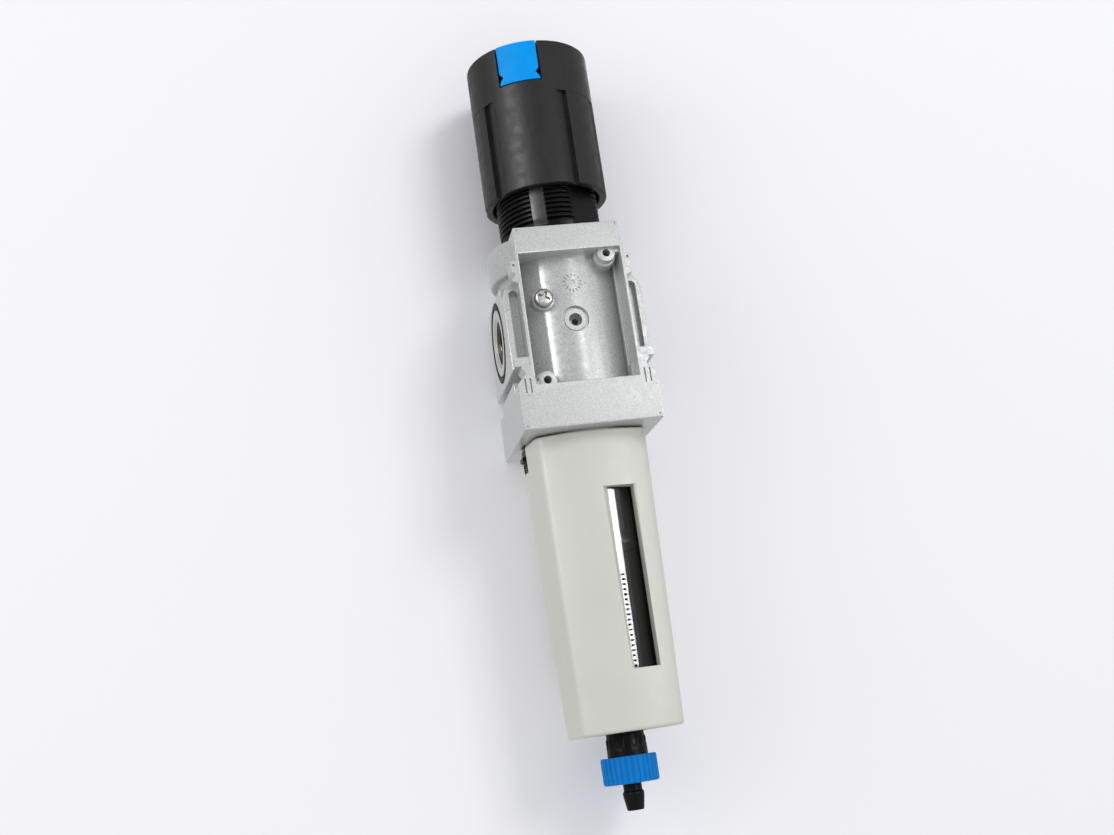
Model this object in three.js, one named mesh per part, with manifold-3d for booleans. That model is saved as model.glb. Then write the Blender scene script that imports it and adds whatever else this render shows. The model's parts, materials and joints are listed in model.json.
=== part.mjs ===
// A filter-regulator for compressed air: a die-cast body with two ports, a pull-out adjusting knob
// on top, and a filter bowl in a guard below with a turn-type drain.
// Millimetres, +Z up along the main axis, front towards -Y. The origin is where the port axis
// crosses the main axis.
import * as THREE from "three";
import { mergeVertices } from "three/addons/utils/BufferGeometryUtils.js";
import Module from "manifold-3d";

const wasm = await Module();
wasm.setup();

// ---- driving dimensions ----
const GRID = 40; // width of the body's foot block, the module width
const FRONT = 22.45; // front plane of the body, measured forward from the axis
const BACK = 19; // back plane of the body
const PORT_FACE = 20.3; // port faces, left and right
const TOP = 27.2; // top of the body
const FOOT = -32.1; // underside of the body
const FRAME_HALF = 14.8; // half width of the front recess
const FRAME_WALL = 1; // wall of the recess frame
const RECESS_HALF = 19.3; // half height of the front recess
const CORE_R = 18.2; // the cast cylinder seen in the recess
const SHOULDER_R = 20.3; // the round shoulder under the bonnet
const PORT_R = 6.0; // thread minor radius of the ports
const PORT_MOUTH_R = 7.3;
const PORT_DEPTH = 10.8; // how deep the port thread is
const RAIL_START = 15; // where the side pieces begin, inside the frame bars
const COVER_BOSSES = [[11, 18], [-11.2, -17.9]]; // x and z of the cover's two screw bosses
const BOSS_FACE = 21;
const BOSS_R = 2.6;
const BOSS_HOLE_R = 1.15;
const PLUG_AT = [-8.5, 6.8]; // x and z of the screw that closes the bypass hole
const PLUG_FACE = 17.5;
const PLUG_HEAD_R = 2.75;
const GAUGE_SPOT_R = 3.9; // spot face, bore and inner hole of the gauge port
const GAUGE_BORE_R = 1.95;
const GAUGE_HOLE_R = 1;
const SEAL_R = 10.85; // port seal, centre of its section
const SEAL_SECTION = 0.95;
const GAP = 0.3; // clearance between neighbouring pieces

const SOCKET_R = 16.9; // the body's bore for the bowl and the guard's collar
const SOCKET_TOP = -22;
const SPIGOT_R = 15.2; // the narrower bore that the bowl's neck seals in
const SPIGOT_TOP = -15;
const BAYONET_R = 17.9;
const LUG_COUNT = 3;
const LUG_HALF_DEG = 9;
const LUG_ENTRY_DEG = 34; // from a locked lug to its entry slot

const CHAMBER_R = 14.2; // outlet chamber under the diaphragm
const CHAMBER_FLOOR = 7.5;
const LEDGE = 20.2; // where the diaphragm's rim lies
const BONNET_SEAT_R = 17.3;
const SEAT_R = 4; // valve seat hole
const SEAT_LOW = 4;
const VALVE_BORE_R = 6.5;
const POST_R = 8.5; // post round the valve bore, above the filter
const POST_END = -19.5;

const BONNET_THREAD_R = 15.2;
const BONNET_TOP = 71;
const BONNET_BORE_R = 11.6;
const SPINDLE_R = 3.9;
const SPINDLE_FLAT = 2.9; // half the width across its two flats
const KNOB_R = 18.54;
const KNOB_LOW = 41.8;
const KNOB_TOP = 87.7;
const KNOB_SEAM = 71.5; // between the knob's skirt and its cap
const KNOB_WALL = 1.8;
const KNOB_BORE_R = 16.2;
const LOCK_DEPTH = 3.3; // height of the lock splines over the bonnet; the knob is pushed down 3
const LOCK_TEETH = 12;
const PANEL_COUNT = 3; // grip panels round the knob
const PANEL_CENTRE_DEG = -18.9; // of the front panel, from the front, positive towards +X
const PANEL_HALF_DEG = 42.8;
const PANEL_FLUSH_DEG = 30; // a panel is flush this far from its middle, then it slopes in
const PANEL_DEPTH = 1.3;
const INSERT_HALF_DEG = 20;
const INSERT_HEIGHT = 13;

const GUARD_TOP = -32.6;
const GUARD_LOW = -115.8;
const GUARD_R = 17.7;
const GUARD_CORNER = [16, 14.2]; // front corners, sideways and forward
const GUARD_CORNER_REACH = 2; // how far a front corner's rounding reaches along its sides
const GUARD_FRONT_R = 38; // the shallow curve of the front
const GUARD_TAPER = 0.9; // size of the lower end over the upper end
const GUARD_BORE_TOP = 15.3;
const GUARD_BORE_LOW = 14.1;
const GUARD_FLOOR = -113.4;
// The sight window's sides and ends, and where its sides begin to flare and how fast.
const WINDOW = { x0: 2.2, x1: 9.7, z0: -99.5, z1: -48.9, flareY: -15.4, flare0: 0.8, flare1: 1.2 };
const BOWL_WALL = 1.8;
const BOWL_TOP_R = 14.9;
const BOWL_LOW_R = 13.4;
const BOWL_TOP = -17.4;
const BOWL_FLOOR = -111;

const WHEEL_TOP = -122.2;
const WHEEL_LOW = -129.6;
const WHEEL_R = 7.86;
const WHEEL_HOLE_R = 3.6;
const WHEEL_TEETH = 30;
const WHEEL_WELL = 3; // how deep the neck sits in the wheel
const NECK_R = 5.7;
const NOZZLE_R = 2.6;
const NOZZLE_LOW = -136.9;
const NOZZLE_TOP = -115.6;

// ---- finishes ----
const FINISH = {
  casting: { color: 0xc8cbca, roughness: 0.42, metalness: 0.55 },
  guard: { color: 0xcdcec6, roughness: 0.5, metalness: 0 },
  black: { color: 0x2d2d2f, roughness: 0.45, metalness: 0 },
  grip: { color: 0x2a2a2c, roughness: 0.55, metalness: 0 },
  blue: { color: 0x009dee, roughness: 0.4, metalness: 0 },
  wheelBlue: { color: 0x007dcd, roughness: 0.45, metalness: 0 },
  clear: { color: 0xdfe6e8, roughness: 0.08, metalness: 0 },
  rubber: { color: 0x171717, roughness: 0.7, metalness: 0 },
  steel: { color: 0xb9bcc0, roughness: 0.3, metalness: 1 },
  brass: { color: 0xb89850, roughness: 0.35, metalness: 1 },
  filter: { color: 0xf0eee6, roughness: 0.9, metalness: 0 },
  white: { color: 0xe6e6e2, roughness: 0.5, metalness: 0 },
};

// ---- geometry helpers ----
const rad = THREE.MathUtils.degToRad;

// A plan point at a radius and an angle from the front, positive towards +X.
function atAngle(radius, deg) {
  return new THREE.Vector2(radius * Math.sin(rad(deg)), -radius * Math.cos(rad(deg)));
}

// A solid of revolution round Z from [radius, z] points. A profile off the axis is closed here.
function turned(points, segments = 24) {
  const profile = points.map(([r, z]) => new THREE.Vector2(r, z));
  const onAxis = points[0][0] === 0 && points.at(-1)[0] === 0;
  if (!onAxis) profile.push(profile[0].clone());
  return new THREE.LatheGeometry(profile, segments).rotateX(Math.PI / 2);
}

function disc(radius, low, high, segments = 24) {
  return turned([[0, low], [radius, low], [radius, high], [0, high]], segments);
}

function tube(outer, inner, low, high, segments = 24) {
  return turned([[inner, low], [outer, low], [outer, high], [inner, high]], segments);
}

function block(x0, x1, y0, y1, z0, z1) {
  const box = new THREE.BoxGeometry(x1 - x0, y1 - y0, z1 - z0);
  return box.translate((x0 + x1) / 2, (y0 + y1) / 2, (z0 + z1) / 2);
}

// A plan outline raised from low to high.
function raised(shape, low, high, curveSegments = 16) {
  const options = { depth: high - low, bevelEnabled: false, curveSegments };
  return new THREE.ExtrudeGeometry(shape, options).translate(0, 0, low);
}

// An outline in X and Z, carried from y0 to y1.
function carriedAlongY(shape, y0, y1, curveSegments = 6) {
  return raised(shape, 0, y1 - y0, curveSegments).rotateX(Math.PI / 2).translate(0, y1, 0);
}

// An outline in Y and Z, carried from x0 to x1.
function carriedAlongX(shape, x0, x1) {
  return raised(shape, x0, x1).rotateX(Math.PI / 2).rotateZ(Math.PI / 2);
}

function polygon(points) {
  return new THREE.Shape(points.map(([a, b]) => new THREE.Vector2(a, b)));
}

// Part of a ring, between two radii and two angles from the front.
function ringSector(inner, outer, deg0, deg1, low, high, steps = 4) {
  const outline = [];
  for (let i = 0; i <= steps; i++) outline.push(atAngle(outer, deg0 + ((deg1 - deg0) * i) / steps));
  for (let i = steps; i >= 0; i--) outline.push(atAngle(inner, deg0 + ((deg1 - deg0) * i) / steps));
  return raised(new THREE.Shape(outline), low, high);
}

function ringSeal(radius, section, z, segments = 32) {
  return new THREE.TorusGeometry(radius, section, 6, segments).translate(0, 0, z);
}

// Turns a piece made along +Z so that it points along +X, -X or -Y.
const toRight = (geometry) => geometry.rotateY(Math.PI / 2);
const toLeft = (geometry) => geometry.rotateY(-Math.PI / 2);
const toFront = (geometry) => geometry.rotateX(Math.PI / 2);

// The manifold-3d solid of a closed geometry, with its faces turned out.
function solid(geometry) {
  const bare = geometry.clone();
  bare.deleteAttribute("normal");
  bare.deleteAttribute("uv");
  const merged = mergeVertices(bare, 1e-4);
  const index = merged.index.array;
  const kept = [];
  for (let i = 0; i < index.length; i += 3) {
    const [a, b, c] = [index[i], index[i + 1], index[i + 2]];
    if (a !== b && b !== c && c !== a) kept.push(a, b, c);
  }
  const vertProperties = merged.attributes.position.array;
  const make = (triVerts) => new wasm.Manifold(
    new wasm.Mesh({ numProp: 3, vertProperties, triVerts: new Uint32Array(triVerts) }),
  );
  const made = make(kept);
  if (made.volume() > 0) return made;
  return make(kept.reverse());
}

function joined(first, ...others) {
  return others.reduce((sum, other) => sum.add(asSolid(other)), asSolid(first));
}

function cutFrom(first, ...others) {
  return others.reduce((rest, other) => rest.subtract(asSolid(other)), asSolid(first));
}

function asSolid(piece) {
  return piece.isBufferGeometry ? solid(piece) : piece;
}

function asGeometry(piece) {
  if (piece.isBufferGeometry) return asGeometry(solid(piece));
  const { numProp, vertProperties, triVerts } = piece.getMesh();
  const position = new Float32Array((vertProperties.length / numProp) * 3);
  for (let i = 0; i < position.length / 3; i++) {
    for (let k = 0; k < 3; k++) position[3 * i + k] = vertProperties[numProp * i + k];
  }
  const geometry = new THREE.BufferGeometry();
  geometry.setAttribute("position", new THREE.BufferAttribute(position, 3));
  geometry.setIndex(new THREE.BufferAttribute(new Uint32Array(triVerts), 1));
  geometry.computeVertexNormals();
  return geometry;
}

// One named sub-part.
function part(name, piece, finish) {
  const mesh = new THREE.Mesh(asGeometry(piece), new THREE.MeshStandardMaterial(finish));
  mesh.name = name;
  return mesh;
}

function group(...meshes) {
  const made = new THREE.Group();
  made.add(...meshes.flat());
  return made;
}

// ---- body ----

// The side of the casting towards +X and one face (front or back), which takes module clamps: a strip
// with a pocket behind the frame bar, a shelf under it, a notch, and the wing above the foot block.
function sideRail(edge, toward) {
  const y = (inset) => toward * (edge - inset);
  const span = (insetA, insetB) => [y(insetA), y(insetB)].sort((a, b) => a - b);
  const strip = polygon([
    [RAIL_START, -13.7], [PORT_FACE, -13.7], [PORT_FACE, 7.5], [19.4, 10.2], [18, 11.8],
    [RAIL_START, 12.4],
  ]);
  const pocket = new THREE.Shape();
  pocket.absarc(17.2, 8.4, 1.4, 0, Math.PI);
  pocket.absarc(17.2, -9.4, 1.4, Math.PI, 2 * Math.PI);
  const ear = polygon([
    [RAIL_START, 17.4], [17.4, 17.4], [17.4, 14.2], [16.4, 13.2], [16.6, 12.6], [17.8, 11.6],
    [RAIL_START, 10],
  ]);
  const wing = polygon([
    [RAIL_START, -21.8], [20, -22.3], [19.9, -18.8], [18.7, -17.3], [17.4, -16.2], [17.4, -15.6],
    [18.3, -14.4], [18.3, -13.2], [RAIL_START, -13],
  ]);
  const shelf = block(RAIL_START, 20.1, ...span(0.5, 8.5), -13.7, -11);
  const railed = joined(
    carriedAlongY(strip, ...span(3.85, 11)),
    carriedAlongY(ear, ...span(0, 6.5)),
    carriedAlongY(wing, ...span(0, 7.6)),
    shelf,
  );
  const dimple = toFront(disc(0.45, -0.6, 0.6, 8)).translate(16.6, y(0), 15.9);
  const groove = block(17, 17.5, ...span(-1, 1.2), -21.5, -17.4);
  return cutFrom(railed, carriedAlongY(pocket, ...span(3, 9)), dimple, groove);
}

// The middle of the +X side: the port flange, and the slanted wing under it.
function sideFlange() {
  const flange = block(RAIL_START, PORT_FACE, -13.2, 12.6, -13.7, 12.4);
  const slant = polygon([[-14.9, -16.3], [10.5, -16.3], [14.5, -22.1], [-14.9, -22.1]]);
  return joined(flange, carriedAlongX(slant, RAIL_START, 20));
}

function recessBoss(x, z) {
  return toFront(disc(BOSS_R, 10, BOSS_FACE, 20)).translate(x, 0, z);
}

// A hole bored straight back from the front, between two distances from the axis.
function frontHole(radius, deep, out, x = 0, z = 0, segments = 12) {
  return toFront(disc(radius, deep, out, segments)).translate(x, 0, z);
}

// Everything at a port that is cut away: the bore with its chamfer, and the groove for the seal.
function portCut() {
  const low = PORT_FACE - PORT_DEPTH;
  const thread = turned([
    [0, low], [PORT_R - 0.8, low], [PORT_R, low + 0.8], [PORT_R, PORT_FACE - 1.3],
    [PORT_MOUTH_R, PORT_FACE], [PORT_MOUTH_R, PORT_FACE + 1], [0, PORT_FACE + 1],
  ], 20);
  const inner = SEAL_R - SEAL_SECTION - GAP;
  const outer = SEAL_R + SEAL_SECTION + GAP;
  return joined(thread, tube(outer, inner, PORT_FACE - 1.7, PORT_FACE + 1, 28));
}

function lugAngles(offset) {
  return Array.from({ length: LUG_COUNT }, (_, i) => offset + (360 / LUG_COUNT) * i);
}

function bodyHousing() {
  const frameOuter = FRAME_HALF + FRAME_WALL;
  const behind = block(-GRID, GRID, BACK, GRID, 0, GRID);
  const shoulder = cutFrom(disc(SHOULDER_R, RECESS_HALF - 2.1, TOP, 40), behind);
  const ledgeFront = -14.2; // a narrow step where the cast cylinder meets the frame bar
  let casting = joined(
    disc(CORE_R, -RECESS_HALF - 1, RECESS_HALF + 1, 40),
    shoulder,
    block(-15.4, 15.4, -FRONT, BACK, RECESS_HALF - 0.1, TOP),
    block(-GRID / 2, GRID / 2, -FRONT, BACK, FOOT, SOCKET_TOP),
    block(-frameOuter, frameOuter, -FRONT, BACK, SOCKET_TOP - 0.5, -RECESS_HALF),
  );
  for (const side of [1, -1]) {
    const bar = side * (FRAME_HALF + FRAME_WALL / 2);
    const half = FRAME_WALL / 2;
    casting = casting.add(solid(block(bar - half, bar + half, -FRONT, BACK, -20, 20)));
    for (const piece of [sideRail(FRONT, -1), sideRail(BACK, 1), sideFlange()]) {
      casting = casting.add(solid(asGeometry(piece).scale(side, 1, 1)));
    }
  }
  const [upperBoss, lowerBoss] = COVER_BOSSES;
  casting = joined(
    casting,
    recessBoss(...upperBoss),
    block(upperBoss[0], FRAME_HALF, -BOSS_FACE, -10, upperBoss[1], 20),
    recessBoss(...lowerBoss),
    block(-FRAME_HALF, lowerBoss[0], -BOSS_FACE, -10, -20, lowerBoss[1]),
    frontHole(3.3, 12, PLUG_FACE, ...PLUG_AT, 20),
    block(FRAME_HALF - 0.9, FRAME_HALF, ledgeFront, -9, -RECESS_HALF, RECESS_HALF),
    block(FRAME_HALF - 0.9, FRAME_HALF, ledgeFront - 3.6, -9, -RECESS_HALF, -14.2),
  );
  casting = cutFrom(
    casting,
    ...COVER_BOSSES.map(([x, z]) => frontHole(BOSS_HOLE_R, 15.5, BOSS_FACE + 1, x, z)),
    frontHole(1.7, 13.2, PLUG_FACE + 0.5, ...PLUG_AT),
    frontHole(GAUGE_SPOT_R, 17.3, 19, 0, 0, 24),
    frontHole(GAUGE_BORE_R, 14.6, 19, 0, 0, 16),
    frontHole(GAUGE_HOLE_R, 10.5, 15, 0.5, 0.4),
    toRight(asGeometry(portCut())),
    toLeft(asGeometry(portCut())),
  );
  return cutFrom(
    casting,
    disc(BONNET_SEAT_R, LEDGE, TOP + 1, 28),
    disc(CHAMBER_R, CHAMBER_FLOOR, LEDGE + 1, 20),
    disc(SEAT_R, 0, CHAMBER_FLOOR + 1, 12),
    disc(VALVE_BORE_R, SPIGOT_TOP - 6, SEAT_LOW, 16),
    tube(SPIGOT_R, POST_R, SOCKET_TOP - 1, SPIGOT_TOP, 24),
    disc(POST_R + 1, SOCKET_TOP - 1, POST_END, 20),
    disc(SOCKET_R, FOOT - 1, SOCKET_TOP, 24),
    disc(BAYONET_R, -29, -26, 24),
    ...lugAngles(LUG_ENTRY_DEG).map((deg) =>
      ringSector(10, BAYONET_R, deg - LUG_HALF_DEG - 2, deg + LUG_HALF_DEG + 2, FOOT - 1, -26),
    ),
    block(-14.2, -10, -4, 4, SPIGOT_TOP - 1, -3), // inlet, down to the bowl
    block(10, 13.6, -4, 4, 3, CHAMBER_FLOOR + 1), // outlet, from the chamber
  );
}

function portSeal(side) {
  const seal = ringSeal(SEAL_R, SEAL_SECTION, PORT_FACE - 0.6, 28);
  return side > 0 ? toRight(seal) : toLeft(seal);
}

function blankingScrew() {
  const head = turned([
    [0, 18], [PLUG_HEAD_R, 18], [PLUG_HEAD_R, 18.9], [2.2, 19.5], [0, 19.7],
  ], 24);
  const shank = disc(1.4, 13.6, 18.2, 16);
  const slots = [block(-1.5, 1.5, -0.3, 0.3, 18.8, 20), block(-0.3, 0.3, -1.5, 1.5, 18.8, 20)];
  return cutFrom(joined(head, shank), ...slots);
}

function bodyGroup() {
  const screw = part("blanking_screw", asGeometry(blankingScrew()).rotateZ(rad(20)), FINISH.steel);
  const washer = part("blanking_screw_washer", tube(2.6, 1.7, 17.6, 17.9, 20), FINISH.rubber);
  const plug = group(screw, washer);
  plug.rotation.x = Math.PI / 2;
  plug.position.set(PLUG_AT[0], 0, PLUG_AT[1]);
  return group(
    part("body_housing", bodyHousing(), FINISH.casting),
    part("port_seal_left", portSeal(-1), FINISH.rubber),
    part("port_seal_right", portSeal(1), FINISH.rubber),
    plug,
  );
}

// ---- pressure adjustment ----

// The bonnet clamps the diaphragm, carries the panel thread, and holds the main spring.
function bonnet() {
  const shell = turned([
    [BONNET_BORE_R, 21.8], [17, 21.8], [17, 26.4], [13.3, 26.8], [13.3, 28.4], [14.5, 30.5],
    [BONNET_THREAD_R, 33], [BONNET_THREAD_R, 58], [13.6, 59.5], [13.6, BONNET_TOP],
    [4.4, BONNET_TOP], [4.4, 67.5], [BONNET_BORE_R, 67.5],
  ], 32);
  const flat = block(6, 20, -20, 20, 26.9, 60).rotateZ(rad(-50)); // beside the thread
  const keep = disc(14.4, 26.9, 60, 40);
  const vents = [45, 135].map((deg) =>
    toRight(disc(0.9, 10, 20, 12)).rotateZ(rad(deg)).translate(0, 0, 38),
  );
  const keyways = [0, 180].map((deg) =>
    block(10.5, 12.6, -1.8, 1.8, 24, 60).rotateZ(rad(deg)),
  );
  return cutFrom(shell, cutFrom(flat, keep), ...vents, ...keyways);
}

// Splines that hold the pushed-down knob, standing in a ring on top of the bonnet.
function lockRing() {
  const outline = [];
  for (let i = 0; i < LOCK_TEETH; i++) {
    for (const [step, radius] of [[-0.25, 8.2], [-0.2, 9.4], [0.2, 9.4], [0.25, 8.2]]) {
      outline.push(atAngle(radius, (360 / LOCK_TEETH) * (i + step)));
    }
  }
  const shape = new THREE.Shape(outline);
  const bore = new THREE.Path().absarc(0, 0, 6.2, 0, 2 * Math.PI, true);
  shape.holes.push(bore);
  return raised(shape, BONNET_TOP + GAP, BONNET_TOP + LOCK_DEPTH, 12);
}

// How far a grip panel lies under the knob's round, at an angle from the panel's middle.
function panelDepth(degFromMiddle) {
  const past = Math.abs(degFromMiddle) - PANEL_FLUSH_DEG;
  if (past <= 0) return 0;
  return (PANEL_DEPTH * past) / (PANEL_HALF_DEG - PANEL_FLUSH_DEG);
}

function knobSkirt() {
  const panelPitch = 360 / PANEL_COUNT;
  const panelSteps = 16;
  const ribSteps = 5;
  const edge = 0.3; // degrees taken by the step from a panel's side up to the rib
  const points = [];
  for (let i = 0; i < PANEL_COUNT; i++) {
    const middle = PANEL_CENTRE_DEG + panelPitch * i;
    for (let k = 0; k <= panelSteps; k++) {
      const off = PANEL_HALF_DEG * ((2 * k) / panelSteps - 1);
      points.push(atAngle(KNOB_R - panelDepth(off), middle + off));
    }
    const ribStart = middle + PANEL_HALF_DEG + edge;
    const rib = panelPitch - 2 * PANEL_HALF_DEG - 2 * edge;
    for (let k = 0; k <= ribSteps; k++) points.push(atAngle(KNOB_R, ribStart + (rib * k) / ribSteps));
  }
  const outline = new THREE.Shape(points);
  outline.holes.push(new THREE.Path().absarc(0, 0, KNOB_BORE_R, 0, 2 * Math.PI, true));
  return raised(outline, KNOB_LOW, KNOB_SEAM - GAP, 24);
}

function knobCap() {
  const roof = 3; // thickness of its roof
  const crown = turned([
    [0, KNOB_TOP - roof], [KNOB_R - KNOB_WALL, KNOB_TOP - roof], [KNOB_R - KNOB_WALL, KNOB_SEAM],
    [KNOB_R, KNOB_SEAM], [KNOB_R, KNOB_TOP - 0.8], [KNOB_R - 0.8, KNOB_TOP], [12.5, KNOB_TOP],
    [12, KNOB_TOP - 0.5], [0, KNOB_TOP - 0.5],
  ], 40);
  const slot = ringSector(
    9.5, KNOB_R + 1, PANEL_CENTRE_DEG - INSERT_HALF_DEG, PANEL_CENTRE_DEG + INSERT_HALF_DEG,
    KNOB_TOP - INSERT_HEIGHT, KNOB_TOP + 1, 10,
  );
  const boss = tube(8.2, 5.4, 80.9, KNOB_TOP - 2);
  return joined(cutFrom(crown, slot), boss);
}

// The slide that is pulled up to lock the knob: a wall in the cap's slot and a lip over the top.
function lockInsert() {
  const room = 0.9; // degrees of clearance on each side of the slot
  const from = PANEL_CENTRE_DEG - INSERT_HALF_DEG + room;
  const to = PANEL_CENTRE_DEG + INSERT_HALF_DEG - room;
  const low = KNOB_TOP - INSERT_HEIGHT + GAP;
  const wall = ringSector(KNOB_R - KNOB_WALL, KNOB_R, from, to, low, KNOB_TOP - 0.1, 10);
  const lip = ringSector(9.9, KNOB_R - 1, from, to, KNOB_TOP - 2.4, KNOB_TOP - 0.1, 10);
  return joined(wall, lip);
}

// The hub drives the spindle through two flats, and holds the inner splines of the lock.
function knobHub() {
  const hubR = 13;
  const lockLow = BONNET_TOP + LOCK_DEPTH + GAP;
  const shape = new THREE.Shape().absarc(0, 0, hubR, 0, 2 * Math.PI);
  const bore = [];
  for (let i = 0; i < LOCK_TEETH; i++) {
    for (const [step, radius] of [[-0.3, 9.8], [0.3, 9.8], [0.38, 8.7], [0.62, 8.7]]) {
      bore.push(atAngle(radius, (360 / LOCK_TEETH) * (i + step)));
    }
  }
  shape.holes.push(new THREE.Path(bore.reverse()));
  const lock = raised(shape, lockLow, lockLow + 4.2, 18);
  const hole = flatted(SPINDLE_R + GAP, SPINDLE_FLAT + GAP, lockLow + 3, lockLow + 7);
  const roof = cutFrom(disc(hubR, lockLow + 3.6, lockLow + 6, 36), hole);
  return joined(lock, roof);
}

// A round bar with two flats, as the spindle's upper end.
function flatted(radius, halfFlat, low, high) {
  const bar = solid(disc(radius, low, high, 20));
  return bar.intersect(solid(block(-radius, radius, -halfFlat, halfFlat, low - 1, high + 1)));
}

function spindle() {
  const screw = turned([
    [0, 48], [2.6, 48], [3.2, 49.2], [SPINDLE_R, 50], [SPINDLE_R, 64], [6, 64], [6, 65.6],
    [SPINDLE_R, 65.6], [SPINDLE_R, 74], [0, 74],
  ], 24);
  const top = flatted(SPINDLE_R, SPINDLE_FLAT, 73.5, 81.2);
  const groove = tube(6, 3.2, 72, 73, 20);
  return cutFrom(joined(screw, top), groove);
}

// A clip that snaps into the spindle's groove above the bonnet, open on one side.
function retainingClip() {
  return cutFrom(tube(5.2, 3.5, 72.15, 72.85, 20), block(-1.6, 1.6, 0, 8, 71, 74));
}

// The nut on the spindle that presses on the main spring, with two keys that keep it from turning.
function springPlate() {
  const plate = turned([
    [SPINDLE_R + GAP, 51], [6.2, 51], [6.2, 56.5], [10.9, 56.5], [10.9, 58.5], [SPINDLE_R + GAP, 58.5],
  ], 32);
  const keys = [0, 180].map((deg) => block(10, 12.2, -1.4, 1.4, 56.5, 58.5).rotateZ(rad(deg)));
  return joined(plate, ...keys);
}

// A helical wire with ground, closed ends.
class CoilCurve extends THREE.Curve {
  constructor(radius, low, high, turns) {
    super();
    Object.assign(this, { radius, low, high, turns });
  }

  getPoint(t, target = new THREE.Vector3()) {
    const angle = 2 * Math.PI * this.turns * t;
    const height = this.low + (this.high - this.low) * t;
    return target.set(this.radius * Math.cos(angle), this.radius * Math.sin(angle), height);
  }
}

function coil(radius, wire, low, high, turns, sides = 6, stepsPerTurn = 10) {
  const section = new THREE.Shape().absarc(0, 0, wire / 2, 0, 2 * Math.PI);
  const path = new CoilCurve(radius, low + wire / 2, high - wire / 2, turns);
  const steps = Math.round(turns * stepsPerTurn);
  const options = { steps, curveSegments: sides / 2, extrudePath: path, bevelEnabled: false };
  return new THREE.ExtrudeGeometry(section, options);
}

function adjusterGroup() {
  return group(
    part("bonnet", bonnet(), FINISH.black),
    part("lock_ring", lockRing(), FINISH.black),
    part("spindle", spindle(), FINISH.steel),
    part("spindle_clip", retainingClip(), FINISH.steel),
    part("spindle_washer", tube(6.2, 4.3, 66, 67), FINISH.white),
    part("spring_plate", springPlate(), FINISH.brass),
    part("main_spring", coil(8.9, 2.6, 24.6, 56.1, 5.5), FINISH.steel),
    part("knob_skirt", knobSkirt(), FINISH.grip),
    part("knob_cap", knobCap(), FINISH.grip),
    part("knob_hub", knobHub(), FINISH.black),
    part("lock_insert", lockInsert(), FINISH.blue),
  );
}

// ---- diaphragm and valve ----

// A rubber disc with one rolled convolution between its clamped rim and its middle.
function diaphragm() {
  return turned([
    [2.4, 20.5], [10.9, 20.5], [11.6, 19.4], [12.6, 19.4], [13.3, 20.5], [16.8, 20.5],
    [16.8, 21.5], [12.9, 21.5], [12.3, 20.4], [11.9, 20.4], [11.3, 21.5], [2.4, 21.5],
  ], 24);
}

function valveStem() {
  return turned([
    [0, -8], [1.9, -8], [1.9, -0.4], [5.4, -0.4], [5.4, 1.5], [1.5, 1.5], [1.5, 18.6], [0, 18.9],
  ], 24);
}

function valveGroup() {
  const guidePoints = [
    [0, -12.6], [2.4, -12.6], [2.4, -17.2], [6.2, -17.2], [6.2, -10.4], [3, -10.4],
    [3, -9.2], [2.3, -9.2], [2.3, -11.6], [0, -11.6],
  ];
  const guide = cutFrom(
    turned(guidePoints, 20),
    ...[45, 135, 225, 315].map((deg) =>
      disc(1.1, -18, -9, 12).translate(4.3, 0, 0).rotateZ(rad(deg)),
    ),
  );
  return group(
    part("diaphragm", diaphragm(), FINISH.rubber),
    part(
      "diaphragm_plate_upper",
      turned([
        [1.5, 21.8], [10.4, 21.8], [10.4, 22.6], [11, 23.2], [11, 24.3], [7, 24.3], [7, 25.6],
        [1.5, 25.6],
      ], 28),
      FINISH.steel,
    ),
    part(
      "diaphragm_plate_lower",
      turned([
        [0, 19.2], [9.8, 19.2], [9.8, 20.2], [2.1, 20.2], [2.1, 21.7], [1.2, 21.7], [1.2, 24.8],
        [0, 24.8],
      ], 28),
      FINISH.steel,
    ),
    part("valve_stem", valveStem(), FINISH.brass),
    part("valve_seat_rubber", tube(5.3, 1.8, 1.8, 3.7), FINISH.rubber),
    part("valve_spring", coil(3.3, 0.7, -9, -0.8, 4.5, 4, 10), FINISH.steel),
    part("valve_guide", guide, FINISH.white),
  );
}

// ---- filter and bowl ----

// The swirl disc above the element: a hub with slanted vanes inside a skirt.
function deflector() {
  const ring = turned([
    [5.2, -23.2], [9.4, -23.2], [9.4, -20.6], [8.9, -20.6], [8.9, -20], [5.2, -20],
  ], 32);
  const vanes = Array.from({ length: 8 }, (_, i) =>
    block(9, 12.4, -0.5, 0.5, -23.2, -19.6).rotateZ(rad(45 * i)),
  );
  const skirt = tube(12.7, 12, -23.2, -19.6, 24);
  return joined(ring, skirt, ...vanes);
}

function filterElement() {
  return tube(9.5, 6, -60, -23.6, 28);
}

function baffleDisc() {
  return turned([
    [2.3, -62.2], [6, -62.2], [11.3, -64.4], [11.6, -64.4], [11.6, -63.6], [6.4, -60.4], [2.3, -60.4],
  ], 32);
}

function filterStud() {
  return turned([
    [0, -65.6], [4.6, -65.6], [4.6, -62.6], [2, -62.6], [2, -13.2], [0, -13.2],
  ], 24);
}

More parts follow.
